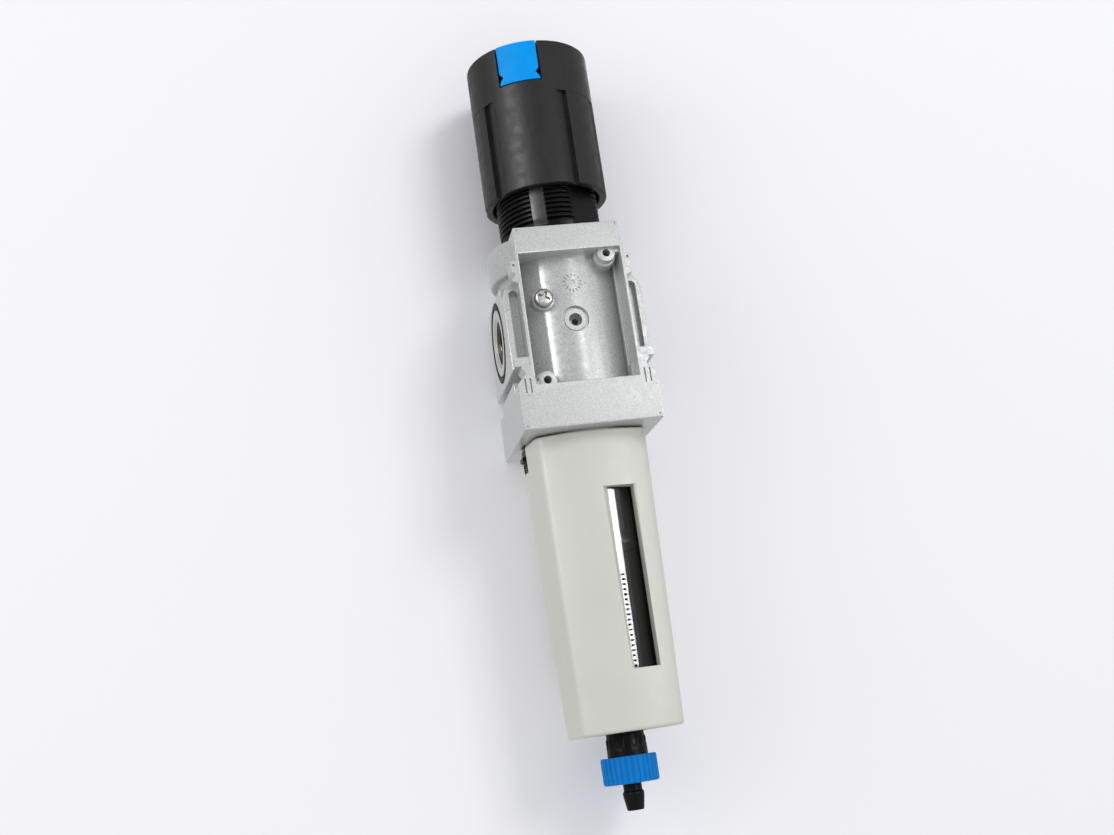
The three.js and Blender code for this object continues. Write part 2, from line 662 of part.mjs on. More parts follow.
// The clear bowl, open at the top, with a groove for its seal and a hole for the drain.
function bowl() {
  const drainHole = 4.3;
  const shoulder = 16.4;
  const grooveR = 13.9;
  const straightLow = -33;
  const floorTop = BOWL_FLOOR + 1.9;
  return turned([
    [drainHole, BOWL_FLOOR], [10.5, BOWL_FLOOR], [12.4, BOWL_FLOOR + 1.2],
    [BOWL_LOW_R, BOWL_FLOOR + 3.6], [BOWL_TOP_R, straightLow], [BOWL_TOP_R, -24.3],
    [shoulder, -24.3], [shoulder, -22.6], [BOWL_TOP_R, -22.6], [BOWL_TOP_R, -21.4],
    [grooveR, -21.4], [grooveR, -18.8], [BOWL_TOP_R, -18.8], [BOWL_TOP_R, BOWL_TOP],
    [BOWL_TOP_R - BOWL_WALL, BOWL_TOP], [BOWL_TOP_R - BOWL_WALL, straightLow],
    [BOWL_LOW_R - BOWL_WALL, BOWL_FLOOR + 4], [9.4, floorTop], [drainHole, floorTop],
  ], 28);
}

// Plan of the guard: round at the back, flat sides, rounded corners, and a shallow curve across
// the front.
function guardOutline() {
  const [cornerX, cornerY] = GUARD_CORNER;
  const corner = new THREE.Vector2(cornerX, -cornerY);
  const tangent = Math.acos(GUARD_R / corner.length()) - Math.atan2(cornerY, cornerX);
  const touch = new THREE.Vector2(Math.cos(tangent), Math.sin(tangent)).multiplyScalar(GUARD_R);
  const side = touch.clone().sub(corner).setLength(GUARD_CORNER_REACH).add(corner);
  const frontCentre = -cornerY + Math.sqrt(GUARD_FRONT_R ** 2 - cornerX ** 2);
  const frontHalf = Math.asin(cornerX / GUARD_FRONT_R) - GUARD_CORNER_REACH / GUARD_FRONT_R;
  const frontX = GUARD_FRONT_R * Math.sin(frontHalf);
  const frontY = frontCentre - GUARD_FRONT_R * Math.cos(frontHalf);
  const down = -Math.PI / 2;
  const outline = new THREE.Shape();
  outline.moveTo(side.x, side.y);
  outline.absarc(0, 0, GUARD_R, tangent, Math.PI - tangent);
  outline.lineTo(-side.x, side.y);
  outline.quadraticCurveTo(-cornerX, -cornerY, -frontX, frontY);
  outline.absarc(0, frontCentre, GUARD_FRONT_R, down - frontHalf, down + frontHalf);
  outline.quadraticCurveTo(cornerX, -cornerY, side.x, side.y);
  return outline;
}

// Shrinks a piece evenly towards the guard's lower end.
function tapered(geometry) {
  const position = geometry.attributes.position;
  for (let i = 0; i < position.count; i++) {
    const t = (GUARD_TOP - position.getZ(i)) / (GUARD_TOP - GUARD_LOW);
    const scale = 1 + (GUARD_TAPER - 1) * t;
    position.setX(i, position.getX(i) * scale);
    position.setY(i, position.getY(i) * scale);
  }
  return geometry;
}

// The cut of a sight window: a slot through the wall, flared towards the outside.
function windowCut() {
  const { x0, x1, z0, z1, flareY, flare0, flare1 } = WINDOW;
  const out = 24 + flareY; // how far past the wall the flare is carried
  const plan = polygon([
    [x0, -8], [x0, flareY], [x0 - flare0 * out, -24], [x1 + flare1 * out, -24], [x1, flareY], [x1, -8],
  ]);
  return raised(plan, z0, z1);
}

function bowlGuard() {
  const collar = tube(16.6, GUARD_BORE_TOP, GUARD_TOP - 1, -24.6, 28);
  const lugs = lugAngles(0).map((deg) =>
    ringSector(16, 17.6, deg - LUG_HALF_DEG, deg + LUG_HALF_DEG, -28.6, -26.4),
  );
  const bore = turned([
    [0, GUARD_FLOOR], [GUARD_BORE_LOW, GUARD_FLOOR], [GUARD_BORE_TOP, GUARD_TOP], [0, GUARD_TOP],
  ], 28);
  const above = disc(GUARD_BORE_TOP, GUARD_TOP - 0.01, -20, 28);
  return cutFrom(
    joined(tapered(raised(guardOutline(), GUARD_LOW, GUARD_TOP, 12)), collar, ...lugs),
    joined(bore, above),
    disc(NECK_R + 0.5, GUARD_LOW - 1, GUARD_FLOOR + 1, 24),
    windowCut(),
    windowCut().rotateZ(Math.PI),
    block(-20, -16.1, -3.3, 3.3, -40, GUARD_TOP + 0.1),
  );
}

function guardLatch() {
  const slide = block(-17.5, -16.4, -3, 3, -37.2, -33);
  const thumb = block(-18.3, -17.4, -2.4, 2.4, -36.4, -35.2);
  return joined(slide, thumb);
}

function latchSpring() {
  return coil(0.75, 0.35, -39.9, -37.5, 4, 4, 8).translate(-17, 0, 0);
}

// ---- drain ----
function drainBody() {
  const boreR = NOZZLE_R + 0.4;
  const neckLow = WHEEL_TOP - WHEEL_WELL + 0.6;
  const flangeLow = -112.2;
  return turned([
    [boreR, neckLow], [NECK_R, neckLow], [NECK_R, flangeLow], [6.6, flangeLow],
    [6.6, BOWL_FLOOR - GAP], [3.8, BOWL_FLOOR - GAP], [3.8, -104], [2, -104],
    [2, flangeLow + 0.2], [boreR, flangeLow - 0.8],
  ], 24);
}

function drainNut() {
  return cutFrom(disc(6.6, -108.6, -105.6, 6), disc(4.1, -110, -104, 20));
}

// The serrated wheel that opens the drain, hollow where the neck goes in.
function drainWheel() {
  const rootR = WHEEL_R - 0.45;
  const points = [];
  for (let i = 0; i < WHEEL_TEETH; i++) {
    for (const [step, radius] of [[-0.22, WHEEL_R], [0.22, WHEEL_R], [0.5, rootR]]) {
      points.push(atAngle(radius, (360 / WHEEL_TEETH) * (i + step)));
    }
  }
  const wheel = raised(new THREE.Shape(points), WHEEL_LOW, WHEEL_TOP);
  const well = disc(NECK_R + GAP, WHEEL_TOP - WHEEL_WELL, WHEEL_TOP + 1, 24);
  return cutFrom(wheel, well, disc(WHEEL_HOLE_R, WHEEL_LOW - 1, WHEEL_TOP, 20));
}

function drainNozzle() {
  const hole = 1.2;
  const barb = 3;
  const barbLow = -132.6;
  return turned([
    [hole, NOZZLE_LOW], [2.3, NOZZLE_LOW], [2.5, NOZZLE_LOW + 0.6], [barb, barbLow],
    [barb, barbLow + 0.7], [NOZZLE_R, barbLow + 1.2], [NOZZLE_R, NOZZLE_TOP], [hole, NOZZLE_TOP],
  ], 24);
}

function filterGroup() {
  return group(
    part("deflector", deflector(), FINISH.white),
    part("filter_element", filterElement(), FINISH.filter),
    part("baffle_disc", baffleDisc(), FINISH.white),
    part("filter_stud", filterStud(), FINISH.steel),
    part("bowl", bowl(), FINISH.clear),
    part("bowl_seal", ringSeal(14.47, 0.5, -20.1, 28), FINISH.rubber),
    part("bowl_guard", bowlGuard(), FINISH.guard),
    part("guard_latch", guardLatch(), FINISH.black),
    part("latch_spring", latchSpring(), FINISH.steel),
  );
}

function drainGroup() {
  return group(
    part("drain_body", drainBody(), FINISH.black),
    part("drain_nut", drainNut(), FINISH.brass),
    part("drain_washer", tube(7.4, 4.15, -109, -108.9), FINISH.rubber),
    part("drain_wheel", drainWheel(), FINISH.wheelBlue),
    part("drain_nozzle", drainNozzle(), FINISH.black),
  );
}

const regulator = group(bodyGroup(), adjusterGroup(), valveGroup(), filterGroup(), drainGroup());
export default regulator;
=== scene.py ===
"""The looks of a compressed-air filter-regulator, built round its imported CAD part.

Pieces are shaped in millimetres and stored in metres. +Z runs up the main axis, the front is -Y.
"""

import json
import math

import bmesh
import bpy
from mathutils import Matrix, Vector


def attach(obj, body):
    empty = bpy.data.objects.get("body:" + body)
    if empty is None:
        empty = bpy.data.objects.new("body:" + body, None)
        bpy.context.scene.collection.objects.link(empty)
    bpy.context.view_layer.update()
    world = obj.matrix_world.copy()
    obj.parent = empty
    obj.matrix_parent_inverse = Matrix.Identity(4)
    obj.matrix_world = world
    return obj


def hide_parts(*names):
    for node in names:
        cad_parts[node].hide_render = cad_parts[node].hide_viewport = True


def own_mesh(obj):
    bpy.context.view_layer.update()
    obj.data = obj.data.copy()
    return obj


MM = 0.001
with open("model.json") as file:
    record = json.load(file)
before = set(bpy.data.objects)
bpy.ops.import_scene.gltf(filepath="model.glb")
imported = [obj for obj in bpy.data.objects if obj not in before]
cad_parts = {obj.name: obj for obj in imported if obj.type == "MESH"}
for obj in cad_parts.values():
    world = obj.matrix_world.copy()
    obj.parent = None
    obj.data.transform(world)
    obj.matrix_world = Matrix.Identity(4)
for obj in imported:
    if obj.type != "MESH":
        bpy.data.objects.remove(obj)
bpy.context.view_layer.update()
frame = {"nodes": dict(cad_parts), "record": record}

# ---- driving dimensions, in millimetres, as in the CAD part ----
FRONT, BACK, PORT_FACE = 22.45, 19.0, 20.3
TOP, FOOT = 27.2, -32.1
CORE_R, SHOULDER_R = 18.2, 20.3
FRAME_HALF, FRAME_WALL, RECESS_HALF = 14.8, 1.0, 19.3
SOCKET_TOP = -22.0
SEAL_R, SEAL_SECTION = 10.85, 0.95
THREAD_MINOR, THREAD_MAJOR, THREAD_PITCH = 5.9, 6.6, 1.34
KNOB_R, KNOB_LOW, KNOB_TOP, KNOB_SEAM = 18.54, 41.8, 87.7, 71.4
KNOB_BORE, KNOB_ROOF = 16.2, 84.7
PANEL_COUNT, PANEL_CENTRE, PANEL_HALF, PANEL_FLUSH, PANEL_DEPTH = 3, -18.9, 42.8, 30.0, 1.3
INSERT_HALF, INSERT_HEIGHT, INSERT_GAP = 19.1, 13.0, 1.5
SCREW_X, SCREW_Z = -8.5, 6.8
BOSSES = ((11, 18), (-11.2, -17.9))
GUARD_TOP, GUARD_LOW, GUARD_R, GUARD_TAPER = -32.6, -115.8, 17.7, 0.9
BOWL_FLOOR, BOWL_TOP, BOWL_LOW_R, BOWL_TOP_R = -111, -33, 13.4, 14.9


# ---- geometry helpers ----
def at_angle(radius, deg, z=0.0):
    """The point at a radius and an angle from the front, positive towards +X."""
    a = math.radians(deg)
    return Vector((radius * math.sin(a), -radius * math.cos(a), z))


def spread(low, high, count):
    """Evenly spaced values from low to high, both included."""
    return [low + (high - low) * i / (count - 1) for i in range(count)]


def smooth_step(x, low, high):
    """0 up to low, 1 from high, with a soft change between."""
    t = min(1.0, max(0.0, (x - low) / (high - low)))
    return t * t * (3 - 2 * t)


def degrees_apart(a, b):
    return abs((a - b + 180) % 360 - 180)


def rounded(points, radius, steps=4):
    """A line of 2D points with every corner but the two ends turned into an arc."""
    made = [Vector(points[0])]
    for before, corner, after in zip(points, points[1:], points[2:]):
        a, b, c = Vector(before), Vector(corner), Vector(after)
        reach = min(radius, (a - b).length * 0.45, (c - b).length * 0.45)
        start, end = b + (a - b).normalized() * reach, b + (c - b).normalized() * reach
        for t in spread(0, 1, steps + 1):
            made.append(start * (1 - t) ** 2 + b * 2 * t * (1 - t) + end * t * t)
    made.append(Vector(points[-1]))
    return made


def rounded_loop(points, radius, steps=4):
    """The same for a closed outline."""
    around = [points[-1], *points, points[0]]
    return rounded(around, radius, steps)[1:-1]


def object_of(name, bm):
    """An object of a bmesh in millimetres. It stands for nothing yet."""
    bmesh.ops.remove_doubles(bm, verts=bm.verts, dist=1e-4)
    bmesh.ops.recalc_face_normals(bm, faces=bm.faces)
    mesh = bpy.data.meshes.new(name)
    bm.to_mesh(mesh)
    bm.free()
    made = bpy.data.objects.new(name, mesh)
    bpy.context.scene.collection.objects.link(made)
    return made


def grid(rows):
    """A bmesh of a grid of points: rows round a loop, each row an open line."""
    bm = bmesh.new()
    verts = [[bm.verts.new(p) for p in row] for row in rows]
    for here, there in zip(verts, verts[1:] + verts[:1]):
        for k in range(len(here) - 1):
            bm.faces.new((here[k], there[k], there[k + 1], here[k + 1]))
    return bm


def lathe(profile, segments=96):
    """A solid of revolution round Z from [radius, z] points. A profile off the axis is closed here."""
    points = [Vector(p) for p in profile]
    if max(points[0].x, points[-1].x) > 1e-6:
        points.append(points[0])
    rows = [[at_angle(r, 360 * i / segments, z) for r, z in points] for i in range(segments)]
    return object_of("lathe", grid(rows))


def disc(radius, low, high, bevel=0.25, segments=96):
    profile = rounded([(0, low), (radius, low), (radius, high), (0, high)], bevel, 3)
    return lathe(profile, segments)


def bevelled(bm, width):
    """Rounds every edge of a bmesh that bends by more than 20 degrees."""
    if width > 0:
        sharp = [e for e in bm.edges if e.is_manifold and e.calc_face_angle() > math.radians(20)]
        bmesh.ops.bevel(
            bm, geom=sharp, offset=width, segments=2, affect="EDGES", profile=0.5, clamp_overlap=True,
        )
    return bm


def extruded(bm, face, way):
    """Pushes a face along a vector into a closed solid."""
    pushed = bmesh.ops.extrude_face_region(bm, geom=[face])["geom"]
    bmesh.ops.translate(bm, verts=[v for v in pushed if isinstance(v, bmesh.types.BMVert)], vec=way)
    bmesh.ops.recalc_face_normals(bm, faces=bm.faces)


def prism(points, low, high, bevel=0.25):
    """A plan outline raised along Z from low to high."""
    bm = bmesh.new()
    face = bm.faces.new([bm.verts.new((x, y, low)) for x, y in points])
    extruded(bm, face, (0, 0, high - low))
    return object_of("prism", bevelled(bm, bevel))


def block(x0, x1, y0, y1, z0, z1, bevel=0.25):
    return prism([(x0, y0), (x1, y0), (x1, y1), (x0, y1)], z0, z1, bevel)


def turned_to(made, axis):
    """Turns a piece made along +Z so that it points along another axis."""
    turns = {
        "+X": Matrix.Rotation(math.pi / 2, 4, "Y"),
        "-X": Matrix.Rotation(-math.pi / 2, 4, "Y"),
        "-Y": Matrix.Rotation(math.pi / 2, 4, "X"),
    }
    made.data.transform(turns[axis])
    return made


def moved(made, x=0, y=0, z=0):
    made.data.transform(Matrix.Translation((x, y, z)))
    return made


def spun(made, deg):
    """Turns a piece round the main axis, from the front towards +X."""
    made.data.transform(Matrix.Rotation(math.radians(deg), 4, "Z"))
    return made


def mirrored(made):
    """The same piece on the other side of the YZ plane."""
    made.data.transform(Matrix.Scale(-1, 4, (1, 0, 0)))
    made.data.flip_normals()
    return made


def applied(made):
    """Makes the modifiers' result the piece's own mesh."""
    evaluated = made.evaluated_get(bpy.context.evaluated_depsgraph_get())
    mesh = bpy.data.meshes.new_from_object(evaluated)
    made.modifiers.clear()
    made.data = mesh
    return made


def combined(base, others, operation):
    for other in others:
        modifier = base.modifiers.new(operation, "BOOLEAN")
        modifier.operation, modifier.solver, modifier.object = operation, "MANIFOLD", other
    applied(base)
    for other in others:
        bpy.data.objects.remove(other)
    return base


def joined(base, *others):
    return combined(base, others, "UNION")


def cut_from(base, *others):
    return combined(base, others, "DIFFERENCE")


def wrapped(outline, inner, outer, bevel=0.15, step=2.0):
    """A plate between two radii. Its outline holds [degrees from the front, z] points."""
    arc = math.radians(1) * outer
    bm = bmesh.new()
    face = bm.faces.new([bm.verts.new((deg * arc, inner, z)) for deg, z in outline])
    extruded(bm, face, (0, outer - inner, 0))
    bevelled(bm, bevel)
    degrees = [deg for deg, z in outline]
    at = min(degrees) + step
    while at < max(degrees) - step / 4:
        everything = bm.verts[:] + bm.edges[:] + bm.faces[:]
        bmesh.ops.bisect_plane(bm, geom=everything, plane_co=(at * arc, 0, 0), plane_no=(1, 0, 0))
        at += step
    for v in bm.verts:
        v.co = at_angle(v.co.y, v.co.x / arc, v.co.z)
    return object_of("wrapped", bm)


def ring_sector(inner, outer, deg0, deg1, low, high, bevel=0.15):
    return wrapped([(deg0, low), (deg1, low), (deg1, high), (deg0, high)], inner, outer, bevel)


def ring(radius, section, segments=128, sides=20):
    """A ring of round section. Both measures are radii."""
    angles = [2 * math.pi * k / sides for k in range(sides + 1)]
    loop = [(radius + section * math.cos(a), section * math.sin(a)) for a in angles]
    rows = [[at_angle(r, 360 * i / segments, z) for r, z in loop] for i in range(segments)]
    return object_of("ring", grid(rows))


def piece(made, name, body, slot, material, *nodes, sharp=38):
    """Names a finished shape, brings it to metres, paints it, and hands it to the frame."""
    made.name = name
    made.data.transform(Matrix.Scale(MM, 4))
    made.data.materials.clear()
    made.data.materials.append(material)
    for polygon in made.data.polygons:
        polygon.use_smooth = True
    made.data.set_sharp_from_angle(angle=math.radians(sharp))
    made.modifiers.new("flat faces stay flat", "WEIGHTED_NORMAL").keep_sharp = True
    applied(made)
    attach(made, body)
    if nodes:
        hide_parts(*nodes)
    return made


# ---- materials ----
class Finish:
    """A material under construction. Its patterns lie in the piece's own space, in metres."""

    def __init__(self, name, colour, roughness, metallic=0.0):
        self.material = bpy.data.materials.new(name)
        self.material.use_nodes = True
        self.nodes, self.links = self.material.node_tree.nodes, self.material.node_tree.links
        self.shader = self.nodes["Principled BSDF"]
        self.place = self.nodes.new("ShaderNodeTexCoord").outputs["Object"]
        self.set("Base Color", (*colour, 1))
        self.set("Roughness", roughness)
        self.set("Metallic", metallic)
        self.normal = None

    def set(self, socket, value):
        self.shader.inputs[socket].default_value = value

    def feed(self, source, socket):
        self.links.new(source, self.shader.inputs[socket])

    def node(self, kind, inputs, **settings):
        made = self.nodes.new(kind)
        for name, value in settings.items():
            setattr(made, name, value)
        for key, value in inputs.items():
            if isinstance(value, bpy.types.NodeSocket):
                self.links.new(value, made.inputs[key])
            else:
                made.inputs[key].default_value = value
        return made

    def stretched(self, scale):
        """The piece's space, scaled unevenly, for streaks."""
        return self.node("ShaderNodeMapping", {"Vector": self.place, "Scale": scale}).outputs[0]

    def noise(self, size, detail=2.0, place=None):
        """Soft noise with features of about this size in millimetres."""
        inputs = {"Vector": place or self.place, "Scale": 1 / (size * MM), "Detail": detail}
        return self.node("ShaderNodeTexNoise", inputs).outputs[0]

    def cells(self, size):
        """The distance to the nearest of scattered points, this many millimetres apart."""
        inputs = {"Vector": self.place, "Scale": 1 / (size * MM)}
        return self.node("ShaderNodeTexVoronoi", inputs).outputs["Distance"]

    def remapped(self, value, low, high, to_low, to_high):
        """Turns the range from low to high into another one, and holds its ends."""
        inputs = {"Value": value, "From Min": low, "From Max": high, "To Min": to_low, "To Max": to_high}
        return self.node("ShaderNodeMapRange", inputs).outputs[0]

    def times(self, a, b):
        return self.node("ShaderNodeMath", {0: a, 1: b}, operation="MULTIPLY").outputs[0]

    def mixed(self, factor, a, b):
        """Colour a where factor is 0 and colour b where it is 1."""
        made = self.node("ShaderNodeMix", {0: factor}, data_type="RGBA")
        for socket, value in ((made.inputs[6], a), (made.inputs[7], b)):
            if isinstance(value, bpy.types.NodeSocket):
                self.links.new(value, socket)
            else:
                socket.default_value = (*value, 1)
        return made.outputs[2]

    def bump(self, height, strength, distance):
        """Adds relief. The distance is its height in millimetres."""
        inputs = {"Height": height, "Strength": strength, "Distance": distance * MM}
        if self.normal:
            inputs["Normal"] = self.normal
        self.normal = self.node("ShaderNodeBump", inputs).outputs[0]
        self.feed(self.normal, "Normal")

    def edges(self, radius):
        """1 along sharp outer and inner edges within a radius in millimetres, 0 elsewhere."""
        soft = self.node("ShaderNodeBevel", {"Radius": radius * MM}, samples=6).outputs[0]
        true = self.nodes.new("ShaderNodeNewGeometry").outputs["Normal"]
        dot = self.node("ShaderNodeVectorMath", {0: soft, 1: true}, operation="DOT_PRODUCT").outputs["Value"]
        return self.remapped(dot, 0.99, 0.8, 0.0, 1.0)


def tinted(colour, gain):
    return tuple(min(1.0, c * gain) for c in colour)


def casting_paint():
    colour = (0.46, 0.47, 0.465)
    f = Finish("casting_paint", colour, 0.33, 0.3)
    flake = f.noise(0.4, 2)
    cloud = f.noise(9, 3)
    base = f.mixed(f.remapped(flake, 0.35, 0.65, 0, 1), tinted(colour, 0.84), tinted(colour, 1.16))
    base = f.mixed(f.remapped(cloud, 0.3, 0.7, 0, 0.2), base, tinted(colour, 1.1))
    # Edges are painted lighter: partly worn paint, partly painted highlight.
    base = f.mixed(f.times(f.edges(0.22), 0.35), base, (0.8, 0.81, 0.8))
    f.feed(base, "Base Color")
    f.feed(f.remapped(f.noise(1.6, 3), 0.3, 0.7, 0.27, 0.38), "Roughness")
    f.bump(f.noise(1.1, 2), 0.3, 0.02)
    f.bump(flake, 0.4, 0.012)
    return f.material


def machined_alloy(name, colour):
    f = Finish(name, colour, 0.3, 1.0)
    rings = f.noise(0.35, 2, f.stretched((6, 1, 1)))
    base = f.mixed(f.remapped(rings, 0.3, 0.7, 0, 1), tinted(colour, 0.75), tinted(colour, 1.15))
    f.feed(base, "Base Color")
    f.feed(f.remapped(f.noise(0.8, 2), 0.3, 0.7, 0.22, 0.42), "Roughness")
    f.bump(rings, 0.3, 0.01)
    return f.material


def guard_plastic():
    colour = (0.6, 0.605, 0.545)
    f = Finish("guard_plastic", colour, 0.46)
    grain = f.noise(0.3, 3)
    base = f.mixed(f.remapped(f.noise(22, 2), 0.3, 0.7, 0, 1), tinted(colour, 0.97), tinted(colour, 1.02))
    base = f.mixed(f.remapped(f.noise(0.9, 4), 0.6, 0.8, 0, 0.08), base, tinted(colour, 0.7))
    f.feed(base, "Base Color")
    f.feed(f.remapped(f.noise(2.5, 3), 0.3, 0.7, 0.4, 0.52), "Roughness")
    f.bump(grain, 0.18, 0.012)
    return f.material


def black_plastic(name, colour, grain_size, grain_height, roughness, gloss, edge_highlight_gain=2.6):
    """A grained plastic with faint lighter vertical streaks of painted sheen, and specks of dust. Its edges
    are painted lighter by a given factor, as a painted highlight.
    """
    f = Finish(name, colour, roughness)
    f.set("Specular IOR Level", gloss)
    grain = f.cells(grain_size)
    # Lighter vertical streaks: painted sheen.
    sheen_streaks = f.noise(1.2, 3, f.stretched((1, 1, 0.08)))
    base = f.mixed(f.remapped(sheen_streaks, 0.45, 0.75, 0, 0.6), colour, tinted(colour, 1.6))
    dust = f.remapped(f.cells(1.7), 0.04, 0.02, 0, 1)
    sparse = f.remapped(f.noise(6, 2), 0.58, 0.66, 0, 1)
    base = f.mixed(f.times(f.times(dust, sparse), 0.6), base, (0.35, 0.35, 0.35))
    # Edges painted lighter: a painted highlight.
    base = f.mixed(f.times(f.edges(0.25), 0.4), base, tinted(colour, edge_highlight_gain))
    f.feed(base, "Base Color")
    f.feed(f.remapped(f.noise(3, 3), 0.3, 0.7, roughness - 0.07, roughness + 0.08), "Roughness")
    f.bump(grain, 0.35, grain_height)
    return f.material


def coloured_plastic(name, colour, roughness, gloss=0.5):
    f = Finish(name, colour, roughness)
    f.set("Specular IOR Level", gloss)
    base = f.mixed(f.remapped(f.noise(5, 3), 0.3, 0.7, 0, 1), tinted(colour, 0.94), tinted(colour, 1.06))
    # Edges painted lighter: a painted highlight.
    base = f.mixed(f.times(f.edges(0.2), 0.35), base, tuple(c * 0.7 + 0.2 for c in colour))
    f.feed(base, "Base Color")
    f.feed(f.remapped(f.noise(1.5, 3), 0.3, 0.7, roughness - 0.06, roughness + 0.06), "Roughness")
    f.bump(f.noise(0.25, 3), 0.15, 0.01)
    return f.material


def shade_tinted_bowl():
    # A grey tint: partly the bowl's own tint, partly painted shade that darkens the view into the guard.
    f = Finish("shade_tinted_bowl", (0.4, 0.39, 0.35), 0.06)
    f.set("Transmission Weight", 1.0)
    f.set("IOR", 1.58)
    f.feed(f.remapped(f.noise(6, 3), 0.3, 0.7, 0.03, 0.1), "Roughness")
    f.bump(f.noise(7, 2), 0.08, 0.05)
    return f.material


def rubber():
    f = Finish("rubber", (0.006, 0.006, 0.006), 0.5)
    f.set("Specular IOR Level", 0.2)
    f.feed(f.remapped(f.noise(1, 3), 0.3, 0.7, 0.42, 0.62), "Roughness")
    f.bump(f.noise(0.2, 3), 0.2, 0.01)
    return f.material


def plated_steel():
    colour = (0.45, 0.45, 0.43)
    f = Finish("plated_steel", colour, 0.3, 1.0)
    f.feed(f.mixed(f.remapped(f.noise(1.2, 3), 0.35, 0.7, 0, 1), colour, tinted(colour, 0.8)), "Base Color")
    f.feed(f.remapped(f.noise(0.7, 3), 0.3, 0.7, 0.2, 0.4), "Roughness")
    f.bump(f.noise(0.4, 3), 0.2, 0.01)
    return f.material


def filter_media():
    colour = (0.8, 0.79, 0.72)
    f = Finish("filter_media", colour, 0.85)
    beads = f.cells(0.35)
    f.feed(f.mixed(f.remapped(beads, 0, 0.7, 0, 1), colour, tinted(colour, 0.6)), "Base Color")
    f.bump(beads, 0.8, 0.12)
    return f.material


paint = {
    "casting": casting_paint(),
    "guard_grey": guard_plastic(),
    "black_plastic": black_plastic("black_plastic", (0.0025, 0.0025, 0.003), 0.4, 0.01, 0.4, 0.12),
    "grip_black": black_plastic("grip_black", (0.008, 0.008, 0.0085), 0.35, 0.04, 0.46, 0.3, 12),
    "blue_plastic": coloured_plastic("blue_plastic", (0.0, 0.31, 0.84), 0.5, 0.06),
    "wheel_blue": coloured_plastic("wheel_blue", (0.0, 0.2, 0.6), 0.5, 0.07),
    "clear_bowl": shade_tinted_bowl(),
    "rubber": rubber(),
    "steel": plated_steel(),
    "brass": machined_alloy("brass", (0.62, 0.42, 0.16)),
    "filter_media": filter_media(),
    "white_plastic": coloured_plastic("white_plastic", (0.74, 0.74, 0.7), 0.5),
}
# Nearly black steel for the latch's button spring: painted shade in the latch's recess.
shade_dark_steel = machined_alloy("shade_dark_steel", (0.03, 0.03, 0.03))
# The port thread's dark brown metal: painted shade deep in the bore, with a brownish tone.
port_shade_metal = machined_alloy("port_shade_metal", (0.1, 0.08, 0.066))
# The bonnet rib: glossier, and painted lighter grey as a painted highlight.
bonnet_rib_gloss_and_highlight = black_plastic("bonnet_rib_gloss_and_highlight", (0.028, 0.028, 0.028), 0.5, 0.005, 0.36, 0.35)

for subpart in frame["record"]["subparts"]:
    node = frame["nodes"][subpart["node"]]
    node.data.materials.clear()
    node.data.materials.append(paint[subpart["material_slot"]])


# ---- camera, lights and stage ----
def make_camera():
    """The photo's view, fitted to the outlines in the photo."""
    forward = Vector((0.1846, 0.9564, 0.2262))
    up = Vector((0.0988, -0.2470, 0.9640))
    right = forward.cross(up).normalized()
    up = right.cross(forward).normalized()
    turn = Matrix((right, up, -forward.normalized())).transposed().to_4x4()
    camera = bpy.data.objects.new("camera", bpy.data.cameras.new("camera"))
    camera.matrix_world = Matrix.Translation((-0.0848, -0.4076, -0.1204)) @ turn
    camera.data.lens, camera.data.sensor_width = 47.08, 36
    camera.data.clip_start = 0.01
    bpy.context.scene.collection.objects.link(camera)
    bpy.context.scene.camera = camera


def area_light(name, direction, distance, size, power):
    """A soft box that looks at the part from a direction."""
    target = Vector((0, 0, -0.02))
    data = bpy.data.lights.new(name, "AREA")
    data.shape, data.size, data.size_y, data.energy = "RECTANGLE", size[0], size[1], power
    made = bpy.data.objects.new(name, data)
    made.location = target + Vector(direction).normalized() * distance
    made.rotation_euler = (made.location - target).to_track_quat("Z", "Y").to_euler()
    bpy.context.scene.collection.objects.link(made)
    return made


def make_stage():
    """The pale table that the regulator lies on. Only the camera sees it, and only from the front."""
    half = 1.2
    bm = bmesh.new()
    corners = [(-half, 0, -half), (half, 0, -half), (half, 0, half), (-half, 0, half)]
    bm.faces.new([bm.verts.new(c) for c in corners])
    mesh = bpy.data.meshes.new("table")
    bm.to_mesh(mesh)
    bm.free()
    table = bpy.data.objects.new("table", mesh)
    table.location.y = BACK * MM + 0.0002
    f = Finish("table", (0.9, 0.9, 0.925), 1.0)
    f.set("Specular IOR Level", 0.1)
    clear = f.nodes.new("ShaderNodeBsdfTransparent").outputs[0]
    behind = f.nodes.new("ShaderNodeNewGeometry").outputs["Backfacing"]
    both = f.node("ShaderNodeMixShader", {0: behind, 1: f.shader.outputs[0], 2: clear})
    f.links.new(both.outputs[0], f.nodes["Material Output"].inputs["Surface"])
    mesh.materials.append(f.material)
    bpy.context.scene.collection.objects.link(table)
    table.visible_diffuse = table.visible_glossy = table.visible_transmission = table.visible_shadow = False


